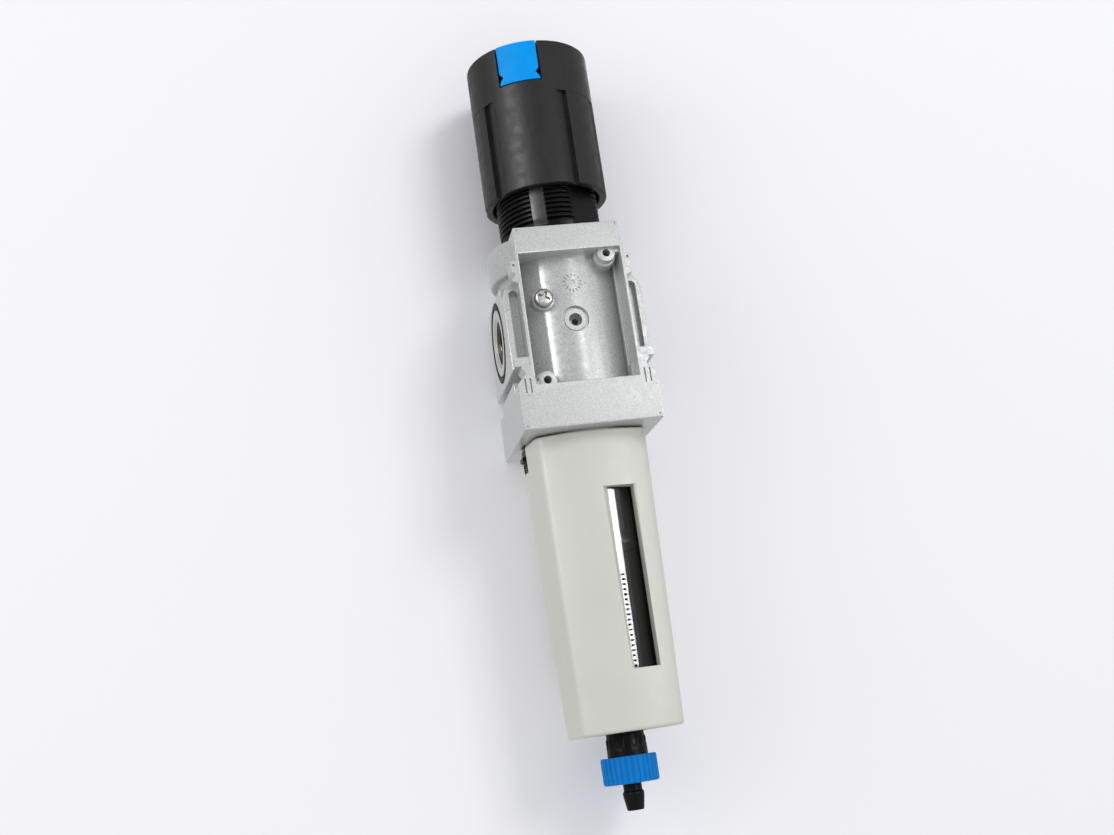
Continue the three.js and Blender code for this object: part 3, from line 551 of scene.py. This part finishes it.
def make_lights():
    """Soft light all round, and three strips that give only highlights, as in the photo."""
    world = bpy.data.worlds.new("world")
    bpy.context.scene.world = world
    world.use_nodes = True
    sky = world.node_tree.nodes["Background"]
    sky.inputs["Color"].default_value = (0.965, 0.965, 0.985, 1)
    sky.inputs["Strength"].default_value = 0.76
    area_light("key", (0.45, -0.75, 0.5), 1.4, (0.45, 0.45), 5.6).visible_glossy = False
    area_light("fill", (-0.8, -0.5, 0.1), 0.8, (0.5, 0.5), 1.0).visible_glossy = False
    area_light("back", (0.3, 0.8, 0.4), 0.8, (0.5, 0.5), 1.2)
    for name, direction, size, power in (
        ("left_strip", (-0.74, -0.67, 0.33), (0.06, 0.32), 3.2),
        ("middle_strip", (0.3, -0.95, 0.29), (0.035, 0.05), 0.25),
        ("right_strip", (0.62, -0.78, 0.02), (0.17, 0.16), 1.6),
    ):
        area_light(name, direction, 0.6, size, power).visible_diffuse = False
    bpy.context.scene.view_settings.view_transform = "Standard"


make_camera()
make_stage()
make_lights()

# ---- knob ----
def panel_offset(deg):
    """Degrees from the middle of the nearest grip panel."""
    pitch = 360 / PANEL_COUNT
    return abs((deg - PANEL_CENTRE + pitch / 2) % pitch - pitch / 2)


def panel_depth(deg):
    """How far the knob's skirt lies under its full radius, at an angle from the front."""
    off = panel_offset(deg)
    if off > PANEL_HALF:
        return 0.0
    return PANEL_DEPTH * max(0.0, off - PANEL_FLUSH) / (PANEL_HALF - PANEL_FLUSH)


def knob_angles():
    """Angles round the knob, close together at the panels' edges."""
    made = []
    edge = 0.18
    for i in range(PANEL_COUNT):
        middle = PANEL_CENTRE + 360 / PANEL_COUNT * i
        made += [middle + a for a in spread(-PANEL_HALF + edge, -PANEL_FLUSH, 7)]
        made += [middle + a for a in spread(-PANEL_FLUSH + 3, PANEL_FLUSH - 3, 19)]
        made += [middle + a for a in spread(PANEL_FLUSH, PANEL_HALF - edge, 7)]
        rib = 360 / PANEL_COUNT - 2 * PANEL_HALF
        made += [middle + PANEL_HALF + a for a in spread(edge, rib - edge, 13)]
    return made


def knob_profile(deg):
    """The knob's section at an angle, from its top middle round to the underside of its roof."""
    depth = panel_depth(deg)
    on_rib = panel_offset(deg) > PANEL_HALF and panel_depth(deg + 0.4) + panel_depth(deg - 0.4) == 0
    groove = 0.16 if on_rib else 0.0
    low = KNOB_R - depth
    outer = [
        (0, KNOB_TOP - 0.5), (11.9, KNOB_TOP - 0.5), (12.6, KNOB_TOP), (KNOB_R - 0.9, KNOB_TOP),
        (KNOB_R - 0.35, KNOB_TOP - 0.12), (KNOB_R - 0.08, KNOB_TOP - 0.4), (KNOB_R, KNOB_TOP - 0.9),
        (KNOB_R, KNOB_SEAM + 0.18), (KNOB_R - groove, KNOB_SEAM + 0.06), (low - groove, KNOB_SEAM - 0.06),
        (low, KNOB_SEAM - 0.2), (low, KNOB_LOW + 0.9), (low - 0.06, KNOB_LOW + 0.35),
        (low - 0.35, KNOB_LOW + 0.05), (low - 0.6, KNOB_LOW),
    ]
    inner = [
        (KNOB_BORE + 0.3, KNOB_LOW), (KNOB_BORE, KNOB_LOW + 0.3), (KNOB_BORE, KNOB_ROOF - 0.6),
        (KNOB_BORE - 0.6, KNOB_ROOF), (0, KNOB_ROOF),
    ]
    return outer + inner


def make_knob():
    rows = [[at_angle(r, deg, z) for r, z in knob_profile(deg)] for deg in knob_angles()]
    shell = object_of("shell", grid(rows))
    half = INSERT_HALF + INSERT_GAP
    slot = ring_sector(
        9.5, KNOB_R + 1, PANEL_CENTRE - half, PANEL_CENTRE + half,
        KNOB_TOP - INSERT_HEIGHT - 0.15, KNOB_TOP + 1, 0.2,
    )
    cut_from(shell, slot)
    piece(shell, "knob_shell", "knob", "grip_black", paint["grip_black"], "knob_skirt", "knob_cap", sharp=30)


def make_insert():
    """The blue slide, with a nick and a flared corner at each side of its lower end."""
    low = KNOB_TOP - INSERT_HEIGHT + 0.4
    side = [
        (INSERT_HALF, KNOB_TOP - 0.1), (INSERT_HALF, low + 3.7), (INSERT_HALF - 3.6, low + 2.3),
        (INSERT_HALF - 0.6, low + 1.3), (INSERT_HALF + 0.7, low),
    ]
    outline = [(PANEL_CENTRE + a, z) for a, z in side]
    outline += [(PANEL_CENTRE - a, z) for a, z in reversed(side)]
    wall = wrapped(outline, KNOB_R - 1.8, KNOB_R - 0.02, 0.22)
    lip = ring_sector(
        9.9, KNOB_R - 0.6, PANEL_CENTRE - INSERT_HALF, PANEL_CENTRE + INSERT_HALF,
        KNOB_TOP - 2.4, KNOB_TOP - 0.1,
    )
    joined(wall, lip)
    piece(wall, "lock_slide", "lock_insert", "blue_plastic", paint["blue_plastic"], "lock_insert", sharp=30)


make_knob()
make_insert()

# ---- body ----
DATE_X, DATE_Z = 0.4, 10.7
DEG_PER_MM = 180 / math.pi / CORE_R


def side_pieces():
    """The casting's side towards +X: port flange, slanted wing, and the clamp rails front and back."""
    start = FRAME_HALF + 0.2
    flange = block(start, PORT_FACE, -13.2, 12.6, -13.7, 12.4, 0.5)
    slant = prism([(-14.9, -16.3), (10.5, -16.3), (14.5, -22.4), (-14.9, -22.4)], start, 20, 0.3)
    slant.data.transform(Matrix(((0, 0, 1, 0), (1, 0, 0, 0), (0, 1, 0, 0), (0, 0, 0, 1))))
    return [flange, slant, *rail(FRONT, -1, start), *rail(BACK, 1, start)]


def rail(edge, toward, start):
    """One clamp rail: a strip with a long pocket, a shelf, an ear above and a wing below."""
    def spanned(outline, inset_a, inset_b, bevel):
        """An [x, z] outline between two distances in from the rail's edge."""
        y0, y1 = sorted((toward * (edge - inset_a), toward * (edge - inset_b)))
        made = prism(outline, y0, y1, bevel)
        made.data.transform(Matrix(((1, 0, 0, 0), (0, 0, 1, 0), (0, 1, 0, 0), (0, 0, 0, 1))))
        made.data.flip_normals()
        return made

    strip = [(start, -13.7), (PORT_FACE, -13.7), (PORT_FACE, 7.5), (19.4, 10.2), (18, 11.8), (start, 12.4)]
    ear = [(start, 10), (17.8, 11.6), (16.6, 12.6), (16.4, 13.2), (17.4, 14.2), (17.4, 17.4), (start, 17.4)]
    wing = [
        (start, -22.4), (20, -22.4), (19.9, -18.8), (18.7, -17.3), (17.4, -16.2), (17.4, -15.6),
        (18.3, -14.4), (18.3, -13.2), (start, -13),
    ]
    shelf = [(start, -13.7), (20.1, -13.7), (20.1, -11), (start, -11)]
    low_end = [at_angle(1.4, 90 - a) + Vector((17.2, -9.4, 0)) for a in spread(0, 180, 13)]
    top_end = [at_angle(1.4, -90 - a) + Vector((17.2, 8.4, 0)) for a in spread(0, 180, 13)]
    pocket = spanned([(p.x, p.y) for p in low_end + top_end], 3, 6.4, 0)
    main = cut_from(spanned(strip, 3.85, 11, 0.3), pocket)
    dimple = turned_to(disc(0.45, -0.6, 0.6, 0, 24), "-Y")
    moved(dimple, 16.6, toward * edge, 15.9)
    ear_piece = cut_from(spanned(ear, 0, 6.5, 0.25), dimple)
    grooves = [
        spanned([(x, -21.6), (x + 0.5, -21.6), (x + 0.5, -17.4), (x, -17.4)], -1, 0.7, 0)
        for x in (16.1, 17.6)
    ]
    wing_piece = cut_from(spanned(wing, 0, 7.6, 0.25), *grooves)
    return [main, ear_piece, wing_piece, spanned(shelf, 0.5, 8.5, 0.2)]


def port_cutter(side):
    """The port's bore with its chamfer, and the groove for its seal."""
    bore_r = THREAD_MAJOR + 0.1
    bore = lathe([
        (0, 9.5), (5.2, 9.5), (5.2, 10.2), (bore_r, 10.8), (bore_r, PORT_FACE - 0.9),
        (7.5, PORT_FACE), (7.5, PORT_FACE + 1), (0, PORT_FACE + 1),
    ], 72)
    room = SEAL_SECTION + 0.15
    groove = lathe([
        (SEAL_R - room, PORT_FACE - 1.7), (SEAL_R + room, PORT_FACE - 1.7),
        (SEAL_R + room, PORT_FACE + 1), (SEAL_R - room, PORT_FACE + 1),
    ], 72)
    return [turned_to(bore, side), turned_to(groove, side)]


def front_hole(radius, deep, out, x, z, bevel=0.0, segments=48):
    return moved(turned_to(disc(radius, deep, out, bevel, segments), "-Y"), x, 0, z)


def gauge_seat():
    """The spot face round the gauge port, with a seal groove at its rim."""
    profile = [(0, 17.3), (3.15, 17.3), (3.3, 16.9), (3.75, 16.9), (3.9, 17.1), (3.9, 19), (0, 19)]
    return turned_to(lathe(profile, 96), "-Y")


def date_marks():
    """A plain ring of short marks sunk in the cylinder, with a small arrow in its middle."""
    count = 14
    outlines = []
    for i in range(count):
        a = 2 * math.pi * i / count
        radial, across = Vector((math.sin(a), math.cos(a))), Vector((math.cos(a), -math.sin(a)))
        middle = radial * 2.3
        outlines.append([
            middle - radial * 0.45 - across * 0.17, middle - radial * 0.45 + across * 0.17,
            middle + radial * 0.45 + across * 0.22, middle + radial * 0.45 - across * 0.22,
        ])
    arrow = [(-0.2, -1.2), (0.2, -1.2), (0.2, 0.3), (0.7, 0.3), (0, 1.4), (-0.7, 0.3), (-0.2, 0.3)]
    lean = Matrix.Rotation(math.radians(-35), 2)
    outlines.append([lean @ Vector(p) for p in arrow])
    return [
        wrapped(
            [((DATE_X + p.x) * DEG_PER_MM, DATE_Z + p.y) for p in outline], CORE_R - 0.35, CORE_R + 1, 0, 90,
        )
        for outline in outlines
    ]


def make_body():
    """The casting: its blocks joined, then its sockets, bores, grooves and marks cut out."""
    outer = FRAME_HALF + FRAME_WALL
    body = disc(CORE_R, -RECESS_HALF - 1, RECESS_HALF + 1, 0, 160)
    parts = [
        cut_from(
            disc(SHOULDER_R, RECESS_HALF - 2.1, TOP, 1.1, 160), block(-30, 30, BACK, 30, 0, 40, 0),
            block(-FRAME_HALF, FRAME_HALF, -30, 0, 0, RECESS_HALF + 0.2, 0),
        ),
        block(-15.4, 15.4, -FRONT, BACK, RECESS_HALF, TOP, 0.35),
        block(-20, 20, -FRONT, BACK, FOOT, SOCKET_TOP, 0.45),
        block(-outer, outer, -FRONT, BACK, SOCKET_TOP - 1, -RECESS_HALF, 0.25),
    ]
    for side in (1, -1):
        bar = sorted((side * FRAME_HALF, side * outer))
        parts.append(block(*bar, -FRONT, BACK, -20.5, 20.5, 0.25))
        parts += side_pieces() if side > 0 else [mirrored(p) for p in side_pieces()]
    for x, z in BOSSES:
        parts.append(front_hole(2.6, 10, 21, x, z, 0.3))
        parts.append(front_hole(3.3, 10, 18.6, x, z, 0.6))
        edge, edge_highlight_gain = math.copysign(FRAME_HALF + 0.1, x), math.copysign(20, z)
        parts.append(block(*sorted((x, edge)), -20.8, -10, *sorted((z, edge_highlight_gain)), 0.3))
    parts.append(front_hole(3.3, 12, 17.5, SCREW_X, SCREW_Z, 0.4))
    for front, top in ((-14.2, 20), (-17.8, -14.2)):
        parts.append(block(FRAME_HALF - 0.9, FRAME_HALF + 0.1, front, -9, -20, top, 0.3))
    joined(body, *parts)
    cutters = [
        *[front_hole(1.15, 12.5, 23, x, z) for x, z in BOSSES],
        front_hole(1.7, 13.2, 18, SCREW_X, SCREW_Z), gauge_seat(),
        front_hole(1.95, 13.6, 19, 0, 0), front_hole(1.0, 9, 15, 0.5, 0.4), *date_marks(),
        *port_cutter("+X"), *port_cutter("-X"),
        lathe([(0, 20.2), (17.2, 20.2), (17.2, TOP - 0.5), (17.9, TOP + 0.3), (0, TOP + 0.3)], 128),
        disc(14.2, 7.5, 21, 0), disc(4, 0, 8, 0), disc(6.5, -21, 4, 0),
        lathe([(8.5, -23), (15.2, -23), (15.2, -15), (8.5, -15)], 128),
        disc(9.5, -23, -19.5, 0), disc(16.9, FOOT - 1, SOCKET_TOP, 0.4, 128), disc(17.9, -29, -26, 0.2, 128),
        block(-14.2, -10, -4, 4, -16, -3, 0.3), block(10, 13.6, -4, 4, 3, 8.5, 0.3),
    ]
    for i in range(3):
        deg = 34 + 120 * i
        cutters.append(ring_sector(10, 17.9, deg - 11, deg + 11, FOOT - 1, -26, 0))
    for x, z in ((-14.4, 26.3), (14.4, 26.3), (-18.9, -31), (18.9, -31)):
        cutters.append(front_hole(0.3, FRONT - 0.35, FRONT + 1, x, z, 0, 20))
    cut_from(body, *cutters)
    piece(body, "casting", "root", "casting", paint["casting"], "body_housing", sharp=32)


def make_port(side, name):
    """A threaded bore, and the seal in the port's face."""
    turn = "+X" if side > 0 else "-X"
    steps, depth = 72, THREAD_MAJOR - THREAD_MINOR
    low, high = 10.3, PORT_FACE - 0.7
    rows = []
    for i in range(steps):
        inner = []
        for k in range(int((high - low) / THREAD_PITCH * 10) + 1):
            x = low + k * THREAD_PITCH / 10
            phase = (x / THREAD_PITCH + i / steps) % 1
            crest = smooth_step(1 - abs(2 * phase - 1), 0.15, 0.85)
            open_out = smooth_step(x, high - 1.2, high)
            inner.append(at_angle(THREAD_MAJOR - 0.05 - depth * crest * (1 - open_out), 360 * i / steps, x))
        outer = [at_angle(THREAD_MAJOR + 0.08, 360 * i / steps, x) for x in (high, low)]
        rows.append([*inner, *outer, inner[0]])
    sleeve = turned_to(object_of("thread", grid(rows)), turn)
    piece(sleeve, name + "_thread", "root", "casting", port_shade_metal)
    seal = turned_to(moved(ring(SEAL_R, SEAL_SECTION), 0, 0, PORT_FACE + 0.22 - SEAL_SECTION), turn)
    piece(seal, name + "_seal", "root", "rubber", paint["rubber"], "port_seal_" + name.split("_")[1])


def make_screw():
    """The screw that closes the bypass hole, with its cross recess, and its washer."""
    head = lathe(rounded([(0, 18), (2.75, 18), (2.75, 19.0), (2.1, 19.6), (0, 19.7)], 0.3), 64)
    shank = disc(1.4, 13.6, 18.2, 0)
    slots = [block(-1.75, 1.75, -0.4, 0.4, 18.6, 20, 0), block(-0.4, 0.4, -1.75, 1.75, 18.6, 20, 0)]
    joined(head, shank)
    cut_from(head, *slots, disc(0.85, 18.4, 20, 0))
    head = moved(turned_to(spun(head, -25), "-Y"), SCREW_X, 0, SCREW_Z)
    piece(head, "bypass_screw", "root", "steel", paint["steel"], "blanking_screw")
    washer = lathe(rounded_loop([(1.7, 17.6), (2.6, 17.6), (2.6, 17.9), (1.7, 17.9)], 0.1, 2), 48)
    washer = moved(turned_to(washer, "-Y"), SCREW_X, 0, SCREW_Z)
    piece(washer, "bypass_washer", "root", "rubber", paint["rubber"], "blanking_screw_washer")


make_body()
make_port(1, "port_right")
make_port(-1, "port_left")
make_screw()


# ---- bonnet ----
BONNET_R, BONNET_PITCH, BONNET_DEPTH = 15.2, 1.5, 0.85
RIB_MIDDLE, RIB_HALF = -21.0, 8.3
FLAT_MIDDLE, FLAT_HALF = 40.0, 25.8


def bonnet_radius(deg, z):
    """The bonnet's radius: a panel thread with a smooth rib and a flat, on a necked barrel."""
    neck = 13.3 + 1.2 * smooth_step(z, 28.2, 30.4) + (BONNET_R - 14.5) * smooth_step(z, 30.2, 33.2)
    phase = ((z - BONNET_PITCH * deg / 360) / BONNET_PITCH) % 1
    groove = 1 - smooth_step(abs(2 * phase - 1), 0.1, 0.75)
    thread = BONNET_DEPTH * groove * smooth_step(z, 31.2, 32.4) * (1 - smooth_step(z, 57, 58))
    thread *= smooth_step(degrees_apart(deg, RIB_MIDDLE), RIB_HALF - 0.4, RIB_HALF + 0.5)
    radius = neck - thread
    from_flat = degrees_apart(deg, FLAT_MIDDLE)
    if from_flat < 60 and z > 30:
        plane = BONNET_R * math.cos(math.radians(FLAT_HALF)) / math.cos(math.radians(from_flat))
        radius = min(radius, plane)
    if z > 58:
        radius -= 1.6 * smooth_step(z, 58, 59.5)
    return radius


def make_bonnet():
    heights = [26.9, 27.4, 28.2, 28.8, 29.4, 30, 30.6, 31.2]
    heights += spread(31.3, 49, 178)
    heights += [52, 55, 57, 58, 58.8, 59.5, 70.5]
    base = [(11.6, 21.8), (17, 21.8), (17, 26.1), (16.7, 26.4), (13.6, 26.6)]
    top = [(13.1, 71), (4.4, 71), (4.4, 67.5), (11.6, 67.5), (11.6, 21.8)]
    rows = []
    steps = 288
    for i in range(steps):
        deg = 360 * i / steps
        outside = [(bonnet_radius(deg, z), z) for z in heights]
        rows.append([at_angle(r, deg, z) for r, z in [*base, *outside, *top]])
    vents = [spun(turned_to(disc(0.9, 10, 20, 0, 24), "+X"), deg) for deg in (45, 135)]
    shell = cut_from(object_of("bonnet", grid(rows)), *[moved(vent, 0, 0, 38) for vent in vents])
    made = piece(
        shell, "threaded_bonnet", "root", "black_plastic", paint["black_plastic"], "bonnet", sharp=40,
    )
    # The smooth rib is glossier than the thread beside it, and its colour is painted lighter: a painted
    # highlight.
    made.data.materials.append(bonnet_rib_gloss_and_highlight)
    for polygon in made.data.polygons:
        middle = polygon.center / MM
        deg = math.degrees(math.atan2(middle.x, -middle.y))
        if abs(deg - RIB_MIDDLE) < RIB_HALF and middle.z > 30.4 and Vector(middle[:2]).length > 14.4:
            polygon.material_index = 1


make_bonnet()


# ---- guard and bowl ----
CORNER_X, CORNER_Y, CORNER_REACH, FRONT_RADIUS = 16.0, 14.2, 2.0, 38.0
WINDOW_X, WINDOW_Z, FLARE_Y = (2.2, 9.7), (-99.5, -48.9), -15.4


def guard_outline():
    """The guard's plan: round at the back, flat sides, rounded corners, a shallow curve in front."""
    corner = Vector((CORNER_X, -CORNER_Y))
    tangent = math.acos(GUARD_R / corner.length) - math.atan2(CORNER_Y, CORNER_X)
    back = [Vector((math.cos(a), math.sin(a))) * GUARD_R for a in spread(tangent, math.pi - tangent, 49)]
    centre = -CORNER_Y + math.sqrt(FRONT_RADIUS ** 2 - CORNER_X ** 2)
    half = math.asin(CORNER_X / FRONT_RADIUS) - CORNER_REACH / FRONT_RADIUS
    front = [
        Vector((FRONT_RADIUS * math.sin(a), centre - FRONT_RADIUS * math.cos(a)))
        for a in spread(-half, half, 33)
    ]

    def arc(start, end, mark):
        return [start * (1 - t) ** 2 + mark * 2 * t * (1 - t) + end * t * t for t in spread(0.1, 0.9, 9)]

    right = corner + (back[0] - corner).normalized() * CORNER_REACH
    left = Vector((-right.x, right.y))
    left_corner = Vector((-CORNER_X, -CORNER_Y))
    return [right, *back, left, *arc(left, front[0], left_corner), *front, *arc(front[-1], right, corner)]


def guard_scale(z):
    """The taper: how large the plan is at a height."""
    return 1 + (GUARD_TAPER - 1) * (GUARD_TOP - z) / (GUARD_TOP - GUARD_LOW)


def window_cutter():
    """The sight window, which flares outwards."""
    (x0, x1), (z0, z1) = WINDOW_X, WINDOW_Z
    out = 24 + FLARE_Y
    flared = [(x0 - 0.8 * out, -24), (x1 + 1.2 * out, -24)]
    return prism([*flared, (x1, FLARE_Y), (x1, -8), (x0, -8), (x0, FLARE_Y)], z0, z1, 0.12)


def make_guard():
    outline = guard_outline()
    levels = [
        (GUARD_TOP, 0.965), (GUARD_TOP - 0.06, 0.984), (GUARD_TOP - 0.25, 0.996), (GUARD_TOP - 0.6, 1.0),
        (-60, 1), (-90, 1), (GUARD_LOW + 0.9, 1.0), (GUARD_LOW + 0.4, 0.993), (GUARD_LOW + 0.1, 0.978),
        (GUARD_LOW, 0.955),
    ]
    rows = []
    for p in outline:
        rows.append([
            Vector((0, 0, GUARD_TOP)),
            *[Vector((*(p * guard_scale(z) * shrink), z)) for z, shrink in levels],
            Vector((0, 0, GUARD_LOW)),
        ])
    shell = object_of("guard", grid(rows))
    collar = lathe([
        (15.3, GUARD_TOP - 1), (16.6, GUARD_TOP - 1), (16.6, -24.9), (16.3, -24.6), (15.3, -24.6),
    ], 128)
    lugs = [ring_sector(16, 17.6, 120 * i - 9, 120 * i + 9, -28.6, -26.4, 0.2) for i in range(3)]
    joined(shell, collar, *lugs)
    bore = lathe([(0, -113.4), (14.1, -113.4), (15.3, GUARD_TOP), (15.3, -20), (0, -20)], 128)
    hole = lathe([(0, GUARD_LOW - 1), (6.9, GUARD_LOW - 1), (6.2, GUARD_LOW + 0.6), (6.2, -112), (0, -112)])
    back_window = spun(window_cutter(), 180)
    latch_room = block(-20, -16.1, -3.3, 3.3, -40, GUARD_TOP + 0.1, 0.2)
    cut_from(shell, bore, hole, window_cutter(), back_window, latch_room)
    piece(shell, "guard_shell", "bowl_unit", "guard_grey", paint["guard_grey"], "bowl_guard", sharp=32)


def make_bowl():
    """The grey-tinted bowl, its tint partly painted shade, and the level marks at the left of its front
    window.
    """
    floor, top_r = BOWL_FLOOR, BOWL_TOP_R
    profile = rounded([
        (4.3, floor), (10.5, floor), (12.4, floor + 1.2), (BOWL_LOW_R, floor + 3.6), (top_r, BOWL_TOP),
        (top_r, -24.3), (16.4, -24.3), (16.4, -22.6), (top_r, -22.6), (top_r, -21.4), (13.9, -21.4),
        (13.9, -18.8), (top_r, -18.8), (top_r, -17.4), (13.1, -17.4), (13.1, BOWL_TOP), (11.6, floor + 4),
        (9.4, floor + 1.9), (4.3, floor + 1.9),
    ], 0.35, 3)
    bowl = lathe(profile, 128)
    piece(bowl, "sight_bowl", "bowl_unit", "clear_bowl", paint["clear_bowl"], "bowl", sharp=30)
    for i in range(19):
        z = -73.5 - 1.4 * i
        up = (z - floor - 3.6) / (BOWL_TOP - floor - 3.6)
        radius = BOWL_LOW_R + (top_r - BOWL_LOW_R) * up
        mark = ring_sector(radius - 0.05, radius + 0.2, 11.5, 15, z - 0.3, z + 0.3, 0.1)
        # The marks are black to show as dark breaks in the bowl's highlight: painted shade.
        piece(mark, f"level_mark_{i}", "bowl_unit", "black_plastic", paint["black_plastic"])


def neck_radius(z, rib):
    """The drain neck's radius: a rib rises below the guard, and the neck flares towards the wheel."""
    flare = 0.4 * smooth_step(z, -118.6, -120.8)
    height = 0.42 if -118.8 < z < -117 else 0.3
    return min(5.68, 5.3 + flare + height * rib * smooth_step(-z, 116.5, 117.5))


def make_drain_neck():
    steps, ribs = 192, 16
    heights = [*spread(-112.3, -118.6, 8), *spread(-119, -121, 6)]
    top = [(3, -113), (2, -112), (2, -104), (3.8, -104), (3.8, -111.3), (6.5, -111.4), (6.5, -112.2)]
    rows = []
    for i in range(steps):
        deg = 360 * i / steps
        rib = smooth_step(math.cos(math.radians(deg * ribs)), 0.1, 0.7)
        profile = [*top, *[(neck_radius(z, rib), z) for z in heights], (5.6, -124.6), (3, -124.6), (3, -113)]
        rows.append([at_angle(r, deg, z) for r, z in profile])
    neck = object_of("neck", grid(rows))
    piece(neck, "drain_neck", "bowl_unit", "black_plastic", paint["black_plastic"], "drain_body")


def make_drain_wheel():
    teeth = 30
    steps = teeth * 8
    low, high, edge_highlight_gain = -129.6, -122.2, 7.86
    rows = []
    for i in range(steps):
        deg = 360 * i / steps
        tooth = smooth_step(math.cos(math.radians(deg * teeth)), -0.6, 0.2)
        out = edge_highlight_gain - 0.42 * (1 - tooth)
        profile = [
            (2.95, low), (out - 0.7, low), (out - 0.2, low + 0.15), (out - 0.02, low + 0.6),
            (out, high - 0.5), (out - 0.15, high - 0.12), (out - 0.55, high), (6.0, high),
            (5.9, high - 3), (2.95, high - 3), (2.95, low),
        ]
        rows.append([at_angle(r, deg, z) for r, z in profile])
    wheel = object_of("wheel", grid(rows))
    piece(wheel, "drain_grip", "drain_wheel", "wheel_blue", paint["wheel_blue"], "drain_wheel", sharp=34)


def make_drain_nozzle():
    """The barbed nozzle, which the wheel moves."""
    nozzle = lathe(rounded([
        (1.2, -136.9), (2.3, -136.9), (2.45, -136.2), (3, -132.7), (3, -132), (2.6, -131.6), (2.6, -115.6),
        (1.2, -115.6), (1.2, -136.9),
    ], 0.25, 3), 72)
    piece(nozzle, "drain_spout", "drain_nozzle", "black_plastic", paint["black_plastic"], "drain_nozzle")


make_guard()
make_bowl()
make_drain_neck()
make_drain_wheel()
make_drain_nozzle()


# ---- springs ----
def coil(radius, wire, low, high, turns, sides=12):
    """A round wire wound between two heights."""
    bm = bmesh.new()
    up = Vector((0, 0, 1))
    angles = [2 * math.pi * k / sides for k in range(sides)]
    rings = []
    for t in spread(0, 1, round(turns * 40) + 1):
        turn = 2 * math.pi * turns * t
        out = Vector((math.cos(turn), math.sin(turn), 0))
        middle = out * radius + up * (low + wire / 2 + (high - low - wire) * t)
        around = [out * math.cos(a) + up * math.sin(a) for a in angles]
        rings.append([bm.verts.new(middle + way * wire / 2) for way in around])
    for below, above in zip(rings, rings[1:]):
        for k in range(sides):
            after = (k + 1) % sides
            bm.faces.new((below[k], below[after], above[after], above[k]))
    bm.faces.new(rings[0])
    bm.faces.new(rings[-1])
    return object_of("coil", bm)


def make_spring(made, name, node, body, material):
    """A spring, made a piece with a mesh of its own."""
    piece(made, name, body, "steel", material, node)
    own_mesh(made)


make_spring(
    coil(8.9, 2.6, 24.6, 56.1, 5.5), "range_spring", "main_spring", "root",
    paint["steel"],
)
make_spring(
    coil(3.3, 0.7, -9, -0.8, 4.5), "poppet_spring", "valve_spring", "root",
    paint["steel"],
)
# The button spring's steel is painted nearly black: painted shade in the latch's recess.
make_spring(
    moved(coil(0.75, 0.35, -39.9, -37.5, 4), -17, 0, 0), "button_spring", "latch_spring", "bowl_unit",
    shade_dark_steel,
)
